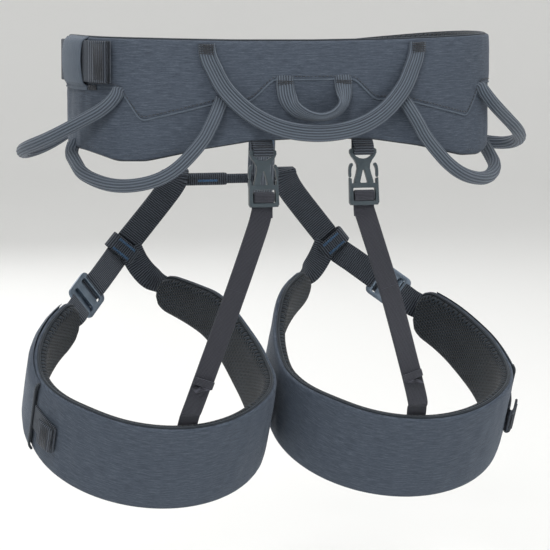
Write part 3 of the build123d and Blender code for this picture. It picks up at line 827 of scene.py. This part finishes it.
strap("waist_strap_left", belt_route(front_angle(BUCKLE_X - 6), front_angle(WEB_SIDE_X), web_mid, 1.5),
      WAIST_STRAP_W, 1.8, WEBBING, "belt", "webbing", ("waist_webbing_left",))
threading = over_belt([(BUCKLE_X - 30, 2.6, 0), (BUCKLE_X - 18, 4.2, -20), (BUCKLE_X - 7, 8.0, -20),
                       (BUCKLE_X + 1, 9.8, 0), (BUCKLE_X + 9, 8.6, 20), (BUCKLE_X + 19, 5.4, 20),
                       (BUCKLE_X + 28, 3.4, 5)])
strap("waist_strap_threaded", threading, WAIST_STRAP_W, 1.7, WEBBING, "belt", "webbing")

SIDE_END = back_angle(STRAP_END_X)
end_normal = belt_normal(SIDE_END)
end_tangent = sideways(end_normal)
end_point = belt_point(SIDE_END, 24.0)
tail = belt_route(front_angle(BUCKLE_X + 26), SIDE_END, tail_mid, 3.2, 0, BELT_STEP * 2)
tail += [(end_point + end_normal * 4.3 + end_tangent * 2.4, end_normal + end_tangent * 1.2),
         (end_point + end_normal * 5.9 + end_tangent * 2.6, -end_normal + end_tangent * 1.6),
         (end_point + end_normal * 7.1, -end_normal),
         (end_point + end_normal * 7.7 - end_tangent * 7, -end_normal),
         (end_point + end_normal * 7.2 - end_tangent * 13.5, -end_normal)]
strap("waist_strap_end", tail, WAIST_STRAP_W, STRAP_T, WEBBING, "belt", "webbing", ("waist_strap_tail",))
tack_middle = end_point + end_normal * 8.75 - end_tangent * 5
threads("waist_strap_end_stitches",
        bar_tack(tack_middle, end_tangent, UP, 8, 26, 9), 0.28, THREAD, "belt")

keeper_from, keeper_to = (corner.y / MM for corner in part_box("waist_keeper"))
# The keeper's line up the side of the belt as (height, stands out, leans back in degrees).
keeper_stops = [(3.0, 0.9, -10), (6.4, 1.8, -50), (8.0, 4.4, -20), (15, 5.9, 0), (24, 6.6, 0), (33, 6.1, 0),
                (38.4, 4.6, 20), (39.8, 2.2, 60), (41.0, -0.6, 70)]
keeper_line = smooth_route([((0, out, rise), (0, cos(radians(lean)), sin(radians(lean))))
                            for rise, out, lean in keeper_stops], 1.5)


def side_angle(y):
    """The angle of the point of the left side's back half that is at y."""
    share = y / WAIST_Y
    return atan2(share, (1 - share ** BACK_SQUARE) ** (1 / BACK_SQUARE))


keeper_rings = []
for point, facing in keeper_line:
    ring = []
    for across, out in flat_section(keeper_to - keeper_from, 1.3, steps=16):
        angle = side_angle((keeper_from + keeper_to) / 2 + across)
        ring.append(belt_point(angle, point.z + out * facing.z, point.y + out * facing.y) * MM)
    keeper_rings.append(ring)
# The keeper takes the lighter shell copy: painted glancing sheen.
add_loft("waist_keeper_band", keeper_rings, PAINTED_SHEEN_SHELL, "belt", "elastic", ("waist_keeper",))
foot_angle = side_angle(keeper_to + 6)
foot_tangent = sideways(belt_normal(foot_angle))
threads("waist_keeper_stitches", bar_tack(belt_point(foot_angle, 5.0, 0.9), foot_tangent, UP, 9, 4, 9),
        0.4, THREAD, "belt")
for plate in ("frame", "slider"):
    bevelled(f"waist_buckle_{plate}", METAL, 0.5)


# ---------------------------------------------------------------- tie-in points and belay loop
def chaikin(points, times=3, closed=False):
    """A line with its corners cut, again and again."""
    points = [Vector(p) for p in points]
    for _ in range(times):
        cut = [] if closed else [points[0]]
        pairs = list(zip(points, points[1:])) + ([(points[-1], points[0])] if closed else [])
        for a, b in pairs:
            cut += [a.lerp(b, 0.25), a.lerp(b, 0.75)]
        if not closed:
            cut.append(points[-1])
        points = cut
    return points


def plan_route(points, rise):
    """A route with its edge upright, facing forwards, along a line seen from above."""
    line = chaikin([(x, y, rise) for x, y in points], 3)
    route = []
    for index, point in enumerate(line):
        run = line[min(index + 1, len(line) - 1)] - line[max(index - 1, 0)]
        route.append((point, Vector((run.y, -run.x, 0)).normalized()))
    return route


arch_low, arch_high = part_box("tie_in_upper")
arch_y = arch_low.y / MM + 1.5
belay_x = (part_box("belay_loop")[0].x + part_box("belay_loop")[1].x) / 2 / MM
arch_mid = (arch_low.z + arch_high.z) / 2 / MM
arch = [(belay_x - 42, -95.2), (belay_x - 30, -98.6), (belay_x - 23, -101.8), (belay_x - 20, arch_y),
        (belay_x + 20, arch_y), (belay_x + 23, -105.2), (belay_x + 30, -104.8), (belay_x + 42, -104.2)]
strap("tie_in_arch", plan_route(arch, arch_mid), TIE_IN_W, 3.0, TIE_IN, "belt", "tie_in_webbing",
      ("tie_in_upper",))
for word, way in (("right", -1), ("left", 1)):
    tack = Vector((belay_x + way * 33, -106.0 if way > 0 else -99.4, arch_mid))
    threads(f"tie_in_tack_{word}", bar_tack(tack, (1, 0, 0), UP, 7, 15, 8), 0.3,
            BLUE_THREAD, "belt")

bridge_low, bridge_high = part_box("tie_in_bridge")
bridge_y = (bridge_low.y + bridge_high.y) / 2 / MM
bridge_z = (bridge_low.z + bridge_high.z) / 2 / MM
bridge_half = bridge_high.x / MM
bridge_route = [((x, bridge_y, bridge_z), (0, -1, 0)) for x in (-bridge_half, -20, 0, 20, bridge_half)]
strap("tie_in_bridge_strap", bridge_route, 7.6, 3.4, TIE_IN, "belt", "tie_in_webbing", ("tie_in_bridge",),
      cords=3, depth=0.2)
sleeve_low, sleeve_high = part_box("tie_in_bridge_sleeve")
sleeve_from, sleeve_to = sleeve_low.x / MM, sleeve_high.x / MM
sleeve = flat_section(10.0, 6.0, steps=12)
sleeve_rings = []
SLEEVE_STEPS = 18
for step in range(SLEEVE_STEPS + 1):
    x = sleeve_from + (sleeve_to - sleeve_from) * step / SLEEVE_STEPS
    pinch = 0.93 if step in (0, SLEEVE_STEPS) else 1.0
    sleeve_rings.append([Vector((x, bridge_y + out * pinch, bridge_z + across * pinch)) * MM
                         for across, out in sleeve])
add_loft("tie_in_bridge_cover", sleeve_rings, WEBBING, "belt", "tie_in_webbing", ("tie_in_bridge_sleeve",))
for word, way in (("front", -1), ("back", 1)):
    line = [(x, bridge_y + way * 3.05, bridge_z + 1.2) for x in (sleeve_from + 1.5, sleeve_to - 1.5)]
    threads(f"tie_in_cover_stitches_{word}", stitch_row(line, 2.4, 0.8), 0.3, THREAD,
            "belt")
    runs = []
    for drop in (-1.6, -1.1, -0.6):
        runs += stitch_row([(x, bridge_y + way * 3.1, bridge_z + drop) for x in (10, 29)], 3.0, 0.2)
    threads(f"tie_in_cover_satin_{word}", runs, 0.36, BLUE_THREAD, "belt")

belay_low, belay_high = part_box("belay_loop")
belay_width = (belay_high.x - belay_low.x) / MM
BELAY_R = 8.5               # inner radius of the loop's two turns
BELAY_T = 3.0
BELAY_LOW_Z = -79.0         # middle of the lower turn
belay_middle = BELAY_R + BELAY_T / 2
belay_ends = []
for node_end in ((-120.0, arch_high.z / MM + 0.3 - BELAY_R), (bridge_y, BELAY_LOW_Z)):
    belay_ends.append(Vector((belay_x, *node_end)))
belay_up = (belay_ends[0] - belay_ends[1]).normalized()
belay_back = Vector((0, -belay_up.z, belay_up.y))
belay_path = []
for centre, begin in ((belay_ends[0], 0), (belay_ends[1], 180)):
    for step in range(13):
        turn = radians(begin + 180 * step / 12)
        way = belay_back * cos(turn) + belay_up * sin(turn)
        belay_path.append((centre + way * belay_middle, way))
    other = belay_ends[1] if centre is belay_ends[0] else belay_ends[0]
    for step in range(1, 40):
        belay_path.append((centre.lerp(other, step / 40) + way * belay_middle, way))
belay_section = flat_section(belay_width, BELAY_T, 7, 0.12, steps=28)
belay_rings = []
for index, (point, facing) in enumerate(belay_path):
    run = belay_path[(index + 1) % len(belay_path)][0] - belay_path[index - 1][0]
    across = run.normalized().cross(facing).normalized()
    belay_rings.append([(point + across * a + facing * b) * MM for a, b in belay_section])
add_loft("belay_loop_webbing", belay_rings, BELAY, "belay", "belay_webbing", ("belay_loop",), closed=True)
for word, share in (("upper", 0.34), ("lower", 0.66)):
    middle = belay_ends[0].lerp(belay_ends[1], share) - belay_back * (belay_middle + BELAY_T / 2 + 0.15)
    threads(f"belay_tack_{word}", bar_tack(middle, belay_up, (1, 0, 0), 9, belay_width - 3, 10), 0.3,
            BLUE_THREAD, "belay")


# ---------------------------------------------------------------- gear loops
def flat_loop(name, half, middle, width, thick, cords, node):
    """A flat corded loop, the same on both sides, whose sewn ends stay on the belt."""
    route = on_side(half, 1) + [middle] + on_side(half, -1)[::-1]
    section = flat_section(width, thick, cords, 0.22, steps=cords * 8)
    rings = strap_rings(smooth_route(route, 1.5), lambda share: section)
    piece = add_loft(name, rings, LOOPS, None, "gear_loop_webbing", (node,))
    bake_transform(piece)


def on_belt(x, rise, out):
    """A point on the back half of the belt, by its x."""
    return tuple(belt_point(back_angle(x), rise, out))


def mirrored(point, way):
    return (point[0] * way, point[1], point[2])


rear_half = [
    (on_belt(78, 37.0, 1.8), (0.12, 1, 0.05)), (on_belt(77, 30, 2.4), (0.12, 1, 0.05)),
    ((75, 101.0, 21), (0.1, 1, 0)), ((66, 105, 4), (0, 1, 0)), ((49, 111, -12.5), (0, 1, 0)),
    ((27, 115.5, -23), (0, 1, 0))]
flat_loop("gear_loop_rear_webbing", rear_half, ((0, 117, -26.5), (0, 1, 0)), 12.5, 3.6, 4,
          "gear_loop_rear")
haul_half = [
    (on_belt(21.5, 14, -0.6), (0, 1, 0.1)), (on_belt(21.5, 7, 1.6), (0.05, 1, 0.1)),
    ((21.0, 106.0, -1), (0.35, 1, 0)), ((17.5, 110.5, -8.5), (0.8, 1, -0.6)),
    ((9.5, 114.0, -13.5), (0.45, 0.7, -1))]
flat_loop("haul_loop_webbing", haul_half, ((0, 115.5, -15), (0, 0.45, -1)), 13.1, 2.6, 5,
          "haul_loop")
for word, way in (("left", 1), ("right", -1)):
    across = mirrored(sideways(belt_normal(back_angle(77))), way)
    tack = mirrored(on_belt(77.4, 33.5, 4.3), way)
    threads(f"gear_loop_rear_tack_{word}", bar_tack(tack, UP, across, 6.5, 11, 9),
            0.32, THREAD, "belt")
    tack = mirrored(on_belt(21.5, 9.2, 2.5), way)
    threads(f"haul_loop_tack_{word}", bar_tack(tack, UP, (1, 0, 0), 2.4, 12, 4),
            0.3, THREAD, "belt")

CORD_R = 4.8
CORDS = 14                  # cords round the side gear loops' webbing
SEWN_SHARE = 0.075          # the share of a loop, at each end, over which it goes flat
back_loop = [
    on_belt(68, -2.5, -1.0), on_belt(69.5, -9, 3.6),
    (76, 105, -18), (84, 105.5, -33), (108, 101, -58), (138, 80, -66), (158, 50, -59),
    (159.5, 28, -49), tuple(belt_point(radians(9), -44.5, 3.0)), tuple(belt_point(radians(7), -36, -0.8))]
front_loop = [
    on_belt(136.5, 5.0, -1.2), on_belt(136.5, -1.0, 3.4),
    (147, 70, -9), (158, 59, -17), (180, 36, -32), (193, 6, -41), (188, -20, -46),
    (168, -41, -43), (152, -51, -36), tuple(belt_point(radians(-27.5), -28, 3.4)),
    tuple(belt_point(radians(-25), -24, 0.8))]


def cord_loop(name, points, side, node):
    """A loop of round corded webbing that goes flat where it is sewn to the belt."""
    line = [Vector((p.x * side, p.y, p.z)) for p in chaikin(points, 4)]
    stations = []
    for point in line:
        facing = belt_normal(atan2(point.y / WAIST_Y, point.x / WAIST_X))
        stations.append((point, facing + Vector((0, 0, -0.25))))

    def section_at(share):
        flat = max(0.0, 1 - min(share, 1 - share) / SEWN_SHARE)
        flat = flat * flat * (3 - 2 * flat)
        return round_section(2 * CORD_R * (1 + 0.28 * flat), 2 * CORD_R * (1 - 0.66 * flat), CORDS, 0.12)

    rings = strap_rings(stations, section_at)
    piece = add_loft(name, rings, LOOPS, None, "gear_loop_webbing", (node,), around=CORDS * CORD_PITCH)
    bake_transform(piece)


for word, side in SIDES:
    for where, points in (("back", back_loop), ("front", front_loop)):
        cord_loop(f"gear_loop_{where}_cord_{word}", points, side,
                  f"gear_loop_{where}_{word}")


# ---------------------------------------------------------------- riser buckles and their tabs
RISER_AT = Vector((37.6, 98.5, -41.6))     # middle of the riser buckle's top bar
RISER_X = 37.6
RISER_W = 15.0
ELASTIC_SPLIT = -140        # height where the elastic is split into an upper and a lower piece
tab_route = [
    ((RISER_X, 95.6, -26), (0, 1, 0)), ((RISER_X, 97.6, -32), (0, 1, 0.2)),
    ((RISER_X, 101.3, -36.5), (0, 1, 0.4)),
    ((RISER_X, 102.0, -40.5), (0, 1, -0.1)), ((RISER_X, 100.4, -42.8), (0, 0.7, -1)),
    ((RISER_X, 97.6, -43.0), (0, -0.7, -1)), ((RISER_X, 95.4, -40.8), (0, -1, -0.1)),
    ((RISER_X, 95.2, -36), (0, -1, 0.1)), ((RISER_X, 94.6, -27), (0, -1, 0))]
RISER_LEAN = radians(6)
RISER_UP = Vector((0, -sin(RISER_LEAN), cos(RISER_LEAN)))
RISER_OUT = Vector((0, cos(RISER_LEAN), sin(RISER_LEAN)))
# Outlines of the riser buckle's pieces from the top down, right half, in mm from the top bar.
HOOK = [(0, 2.6), (8.6, 2.6), (9.9, 1.6), (10.0, -0.6), (8.8, -3.2), (6.6, -6.0), (5.0, -9.0), (4.7, -12.0),
        (5.6, -16.0), (7.0, -20.6), (7.3, -24.6), (0, -24.6)]
HOOK_SLOT = [(0, 0.2), (7.2, 0.2), (7.6, -0.8), (5.8, -3.0), (3.2, -4.5), (0, -5.0)]
HOOK_WINDOW = [(0, -12.8), (0.7, -13.2), (2.9, -21.6), (2.4, -22.4), (0, -22.4)]
POCKET = [(0, -22.6), (9.3, -22.6), (9.3, -19.4), (10.7, -18.6), (11.0, -36.6), (10.0, -38.4), (0, -38.6)]
POCKET_WINDOW = [(0, -26.0), (7.8, -26.0), (8.4, -26.6), (8.4, -35.0), (7.8, -35.6), (0, -35.6)]
LEVER = [(7.9, -9.8), (8.3, -8.0), (9.6, -8.0), (11.0, -11.0), (11.0, -18.4), (9.4, -18.4), (9.5, -13.0),
         (8.6, -10.4)]


def both_ways(half):
    """A whole outline from its right half, which starts and ends on the middle line."""
    rest = [(-x, y) for x, y in reversed(half) if x > 0]
    return list(half) + rest


for word, side in SIDES:
    strap(f"riser_tab_fold_{word}", on_side(tab_route, side), RISER_W, 1.5, WEBBING, "belt", "webbing",
          (f"riser_tab_{word}",), gap=1.0)
    threads(f"riser_tab_stitches_{word}",
            bar_tack((side * RISER_X, 102.1, -37.2), (0, 0.25, 1), (1, 0, 0), 2.2, 12, 4), 0.26,
            THREAD, "belt")
    plane = (Vector(mirrored(RISER_AT, side)), Vector((1, 0, 0)), RISER_UP, RISER_OUT)
    flat_moulding(f"riser_hook_{word}", both_ways(HOOK), (both_ways(HOOK_SLOT), both_ways(HOOK_WINDOW)),
                  plane, 4.2, PLASTIC, "belt", (f"riser_buckle_upper_{word}",))
    flat_moulding(f"riser_pocket_frame_{word}", both_ways(POCKET), (both_ways(POCKET_WINDOW),), plane, 4.8,
                  PLASTIC, f"riser_pocket_{word}", (f"riser_buckle_lower_{word}",))
    for hand, way in (("outer", side), ("inner", -side)):
        lever = chaikin([(x * way, y, 0) for x, y in LEVER], 2, closed=True)
        flat_moulding(f"riser_squeeze_{hand}_{word}", [(p.x, p.y) for p in lever], (), plane, 3.8, PLASTIC,
                      f"lever_{hand}_{word}", (f"riser_lever_{hand}_{word}",), 0.35)
    # the elastic's turn round the pocket's bar as (towards the side, height, out), and its face's turns
    fold = [(0.8, -46.0, -1.7), (0.6, -40.5, -1.9), (0.3, -36.5, -1.2), (0.1, -34.0, 1.6), (0, -31.0, 2.4),
            (0, -28.6, 1.6), (0, -28.4, -0.6), (0.1, -30.5, -2.9), (0.5, -37.0, -3.9), (0.8, -46.0, -3.9)]
    turns = (0, 0, -0.5, -0.3, 0, 1.2, 2.2, 3.0, 3.14, 3.14)
    route = []
    for (shift, rise, out), turn in zip(fold, turns):
        centre = plane[0] + RISER_UP * rise + RISER_OUT * out + Vector((side * shift, 0, 0))
        route.append((centre, RISER_OUT * cos(turn) + RISER_UP * sin(turn)))
    strap(f"elastic_fold_{word}", route, RISER_W, 1.6, ELASTIC, f"riser_pocket_{word}", "elastic", gap=0.8)


# ---------------------------------------------------------------- leg loops
LEG_AT = Vector((93.5, -7.0, -227.0))      # middle of the left leg ring
LEG_LEAN = radians(30.5)
LEG_BACK = Vector((0, cos(LEG_LEAN), -sin(LEG_LEAN)))
LEG_UP = Vector((0, sin(LEG_LEAN), cos(LEG_LEAN)))
LEG_R = 90.0                # radii of the ring's back half and of its two arcs in front
LEG_R_OUTER = 108.7
LEG_R_INNER = 194.7
LEG_FROM, LEG_TO = radians(-53.2), radians(223.0)
# The pad's edges as (how far back, height) from the middle of the ring.
BAND_TOP = [(-140, 12), (-110, 20), (-87, 27), (-45, 22), (0, 22), (30, 28), (60, 35), (95, 37)]
BAND_BOTTOM = [(-140, -18), (-110, -16), (-87, -15), (-45, -30), (0, -38), (30, -38.5), (60, -38),
               (95, -37)]
END_ROUND = 13.0            # how far the rounded ends of the leg pads reach back


def leg_arc(angle):
    """Centre offset and radius of the arc of the leg ring at an angle."""
    if angle < 0:
        return LEG_R - LEG_R_OUTER, LEG_R_OUTER
    if angle > pi:
        return LEG_R_INNER - LEG_R, LEG_R_INNER
    return 0.0, LEG_R


def leg_point(side, angle, rise, out):
    centre, radius = leg_arc(angle)
    x = side * (centre + (radius + out) * cos(angle))
    back = (radius + out) * sin(angle)
    return Vector(mirrored(LEG_AT, side)) + Vector((x, 0, 0)) + LEG_BACK * back + LEG_UP * rise


def leg_normal(side, angle):
    return Vector((side * cos(angle), 0, 0)) + LEG_BACK * sin(angle)


def leg_run(side, angle):
    """The way round the leg ring, from the outer front end to the inner one."""
    return Vector((-side * sin(angle), 0, 0)) + LEG_BACK * cos(angle)


def leg_edges(angle):
    """The lower and the upper edge of the leg pad, drawn in to a round end at the front."""
    centre, radius = leg_arc(angle)
    back = radius * sin(angle)
    low = sum(table(BAND_BOTTOM, max(-140, back + shift)) for shift in (-8, -4, 0, 4, 8)) / 5
    high = sum(table(BAND_TOP, max(-140, back + shift)) for shift in (-8, -4, 0, 4, 8)) / 5
    from_end = min((angle - LEG_FROM) * LEG_R_OUTER, (LEG_TO - angle) * LEG_R_INNER)
    if from_end < END_ROUND:
        share = min(1.0, 1 - from_end / END_ROUND)
        keep = 0.42 + 0.58 * (1 - share * share) ** 0.5
        middle = (low + high) / 2
        low = middle + (low - middle) * keep
        high = middle + (high - middle) * keep
    return low, high


leg_stops = angles(LEG_FROM, 0, radians(1.2))[:-1] + angles(0, pi, radians(1.5))[:-1]
leg_stops += angles(pi, LEG_TO, radians(0.7))


def leg_route(side, start, finish, share, out, lift=0.0, step=radians(1.5)):
    """A route round the leg ring at a share of its width, 0 at the lower edge and 1 at the upper."""
    route = []
    for angle in angles(start, finish, step):
        low, high = leg_edges(angle)
        rise = low + (high - low) * share + lift
        route.append((leg_point(side, angle, rise, out), leg_normal(side, angle)))
    return route


SLEEVE_END = radians(8)
TAIL_END = radians(26)
TAIL_RISE = -6.0
bridge_end = Vector((bridge_half + 0.5, bridge_y, bridge_z))
keeper_in = Vector((80, -134.6, -123.5))
keeper_out = Vector((89, -135.2, -134.5))
pad_outer = Vector((135.5, -81.5, -174))
leg_buckle = keeper_out.lerp(pad_outer, 0.68)
buckle_run = (pad_outer - keeper_out).normalized()
buckle_face = Vector((0.45, -0.8, -0.3))
buckle_face = (buckle_face - buckle_run * buckle_face.dot(buckle_run)).normalized()

for word, side in SIDES:
    body = f"leg_{word}"

    def place(angle, rise, out, side=side):
        return leg_point(side, angle, rise, out)

    def sleeve_place(angle, rise, out, side=side):
        low, high = leg_edges(angle)
        edge = min(1.0, max(0.0, min(rise - low, high - rise)) / 7.0)
        return leg_point(side, angle, rise, out * (0.25 + 0.75 * edge * (2 - edge)))

    stations = [(angle, *leg_edges(angle)) for angle in leg_stops]
    rings, levels = padded_rings(stations, place, 0.2, -2.6, 0.9, 0.8, 31 + side)
    shell = add_loft(f"leg_outer_{word}", rings, SHELL, body, "shell_fabric", (f"leg_shell_{word}",),
                     levels=levels)
    inner = [(angle, low + 0.8, high - 0.6) for angle, low, high in stations]
    rings, levels = padded_rings(inner, place, -2.6, -9.2, 0.5, 0.3, 47 + side)
    lining = add_loft(f"leg_lining_{word}", rings, MESH, body, "spacer_mesh",
                      (f"leg_foam_{word}", f"leg_mesh_{word}"), levels=levels)
    for edge_word, share, lift in (("top", 1.0, -0.2), ("bottom", 0.0, 0.2)):
        route = [(point, LEG_UP) for point, facing in leg_route(side, LEG_FROM, LEG_TO, share, -3.4, lift)]
        strap(f"leg_binding_{edge_word}_{word}", route, 2.6, 2.0, EDGE, body, "shell_fabric")

    covered = [(angle, *leg_edges(angle)) for angle in angles(radians(-47), SLEEVE_END, radians(1.2))]
    rings, levels = padded_rings(covered, sleeve_place, 4.6, 3.4, 0.15, 0.3, 61 + side)
    add_loft(f"leg_sleeve_{word}", rings, SHELL, body, "shell_fabric", (f"leg_strap_sleeve_{word}",),
             levels=levels)
    low, high = leg_edges(SLEEVE_END)
    slot_line = []
    for step in range(25):
        rise = low + 0.8 + (high - low - 1.6) * step / 24
        slot_line.append((sleeve_place(SLEEVE_END, rise, 4.0), leg_normal(side, SLEEVE_END)))
    strap(f"leg_slot_edge_{word}", slot_line, 2.6, 2.0, EDGE, body, "shell_fabric")

    tail = [(leg_point(side, angle, TAIL_RISE, 2.2), leg_normal(side, angle))
            for angle in angles(radians(-10), TAIL_END, radians(3))]
    normal, run = leg_normal(side, TAIL_END), leg_run(side, TAIL_END)
    end = leg_point(side, TAIL_END, TAIL_RISE, 0)
    tail += [(end + normal * 3.1 + run * 2.4, normal + run * 1.2),
             (end + normal * 4.9 + run * 2.6, run * 1.6 - normal),
             (end + normal * 6.0, -normal), (end + normal * 6.5 - run * 6, -normal),
             (end + normal * 6.1 - run * 13, -normal)]
    strap(f"leg_strap_end_{word}", tail, LEG_STRAP_W + 2, STRAP_T, WEBBING, body, "webbing",
          (f"leg_strap_tail_{word}",))
    threads(f"leg_strap_end_stitches_{word}",
            bar_tack(end + normal * 7.5 - run * 5, run, LEG_UP, 7, 19, 8), 0.27, THREAD, body)

    # the leg strap, from the bridge through the keeper and the buckle into the sleeve
    def mirror(point, side=side):
        return Vector((point.x * side, point.y, point.z))

    run, face = mirror(buckle_run), mirror(buckle_face)
    centre = mirror(leg_buckle)
    over_plates = ((-15, 0.8), (-9, 5.4), (-3, 8.2), (3, 8.2), (9, 5.4), (14, 1.2))
    over = [(centre + run * a + face * b, face) for a, b in over_plates]
    mid_end = sum(leg_edges(radians(-50))) / 2
    into_sleeve = [(mirror(pad_outer) + face * 0.4, face),
                   (leg_point(side, radians(-50), mid_end, 2.1), leg_normal(side, radians(-50))),
                   (leg_point(side, radians(-44), mid_end - 2, 2.1), leg_normal(side, radians(-44)))]
    start = mirror(bridge_end)
    fold_end = (start + Vector((side * 1.5, 5.0, 4.8)), (0, 1, 0.7))
    main = [fold_end, (start + Vector((side * 0.5, 0.5, 7.6)), (0, -0.1, 1)),
            (start + Vector((side * 2.5, -4.8, 2.5)), (0, -1, 0.3)),
            (mirror(bridge_end.lerp(keeper_in, 0.25)), (0, -1, 0)),
            (mirror(keeper_in), (0, -1, 0)), (mirror(keeper_out), (side * 0.1, -1, -0.05)),
            (mirror(keeper_out.lerp(pad_outer, 0.25)), face)]
    strap(f"leg_strap_{word}", main + over + into_sleeve, LEG_STRAP_W, STRAP_T, WEBBING, body, "webbing",
          (f"leg_webbing_{word}",), gap=1.6)
    under = [fold_end, (start + Vector((side * 3, 4.8, -1)), (0, 1, 0.2)),
             (mirror(bridge_end.lerp(keeper_in, 0.3)) + Vector((0, 2.1, 0)), (0, 1, 0)),
             (mirror(keeper_in) + Vector((0, 2.0, 0)), (0, 1, 0))]
    strap(f"leg_strap_return_{word}", under, LEG_STRAP_W, 1.8, WEBBING, body, "webbing", gap=1.6)
    inner_end = LEG_TO - radians(4)
    mid_inner = sum(leg_edges(inner_end)) / 2
    branch = [(mirror(Vector((80, -132.0, -130))), (0, -1, 0)),
              (mirror(Vector((74, -131.3, -142))), (0, -1, 0)),
              (mirror(Vector((66, -128.5, -152))), (side * -0.2, -1, 0)),
              (leg_point(side, LEG_TO + radians(1.0), mid_inner, 1.8), leg_normal(side, LEG_TO)),
              (leg_point(side, inner_end, mid_inner, 1.9), leg_normal(side, inner_end))]
    strap(f"leg_strap_inner_{word}", branch, LEG_STRAP_W - 1, STRAP_T, WEBBING, body, "webbing",
          (f"leg_webbing_inner_{word}",))
    tack = leg_point(side, LEG_TO - radians(1.6), mid_inner, 3.0)
    threads(f"leg_inner_tack_{word}", bar_tack(tack, leg_run(side, LEG_TO), LEG_UP, 6, 15, 7),
            0.28, BLUE_THREAD, body)

    # the keeper where the inner branch crosses the leg strap
    run = (mirror(keeper_out) - mirror(keeper_in)).normalized()
    across = run.cross(Vector((0, -1, 0))).normalized()
    out = across.cross(run).normalized()
    middle = (mirror(keeper_in) + mirror(keeper_out)) / 2 + Vector((0, 1.0, 0)) + run * 1.5
    keeper_section = flat_section(13, 1.5, steps=10)
    keeper_rings = []
    outline = flat_section(25.5, 8.4, steps=16)
    for index, (a, b) in enumerate(outline):
        after, before = outline[(index + 1) % len(outline)], outline[index - 1]
        along = across * (after[0] - before[0]) + out * (after[1] - before[1])
        away = along.cross(run).normalized()
        keeper_rings.append([(middle + across * a + out * b + run * c + away * d) * MM
                             for c, d in keeper_section])
    add_loft(f"leg_keeper_band_{word}", keeper_rings, WEBBING, body, "webbing", (f"leg_keeper_{word}",),
             closed=True)
    runs = []
    for way in (1, -1):
        for row in (-4.2, 4.2):
            runs += bar_tack(middle + out * way * 5.05 + run * row, across, run, 15, 2.2, 24)
    threads(f"leg_keeper_stitches_{word}", runs, 0.26, BLUE_THREAD, body)
    for plate in ("frame", "slider"):
        bevelled(f"leg_buckle_{plate}_{word}", METAL, 0.4)

    # the elastic riser: two layers, the rear one sewn to the leg pad and the front one hemmed
    def elastic(name, points, nodes=(), side=side, word=word):
        line = smooth_route(on_side(points, side), 1.6)
        split = min(range(len(line)), key=lambda index: abs(line[index][0].z - ELASTIC_SPLIT))
        section = flat_section(RISER_W, 1.6)
        for part, stations in (("upper", line[:split + 1]), ("lower", line[split:])):
            rings = strap_rings(stations, lambda share: section)
            full_name = f"{name}_{part}_{word}"
            piece = add_loft(full_name, rings, ELASTIC, None, "elastic", nodes)
            if part == "upper":
                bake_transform(piece)
            else:
                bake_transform(piece)

    elastic("elastic_long", [
        ((RISER_X + 0.5, 98.4, -82.5), (0, 1, 0)), ((43, 99.8, -98), (0, 1, 0.05)),
        ((60, 97.0, -148), (0, 1, 0.1)), ((83.5, 84.2, -220), (0, 1, -0.3)),
        ((86.8, 77.2, -234), (0, 1, -0.55)), ((88, 66.8, -251.5), (0, 1, -0.59))],
            (f"elastic_riser_{word}",))
    elastic("elastic_short", [
        ((RISER_X + 0.5, 101.0, -82.5), (0, 1, 0)), ((43, 102.0, -98), (0, 1, 0.1)),
        ((60, 98.9, -148), (0, 1, 0.1)), ((77.0, 89.8, -200), (0, 1, 0.1)),
        ((79.6, 88.4, -208), (0, 1, 0.1)), ((80.4, 89.0, -210.3), (0, 0.2, -1)),
        ((80.0, 90.3, -209.5), (0, -1, 0)), ((78.4, 91.2, -204.5), (0, -1, -0.1))])
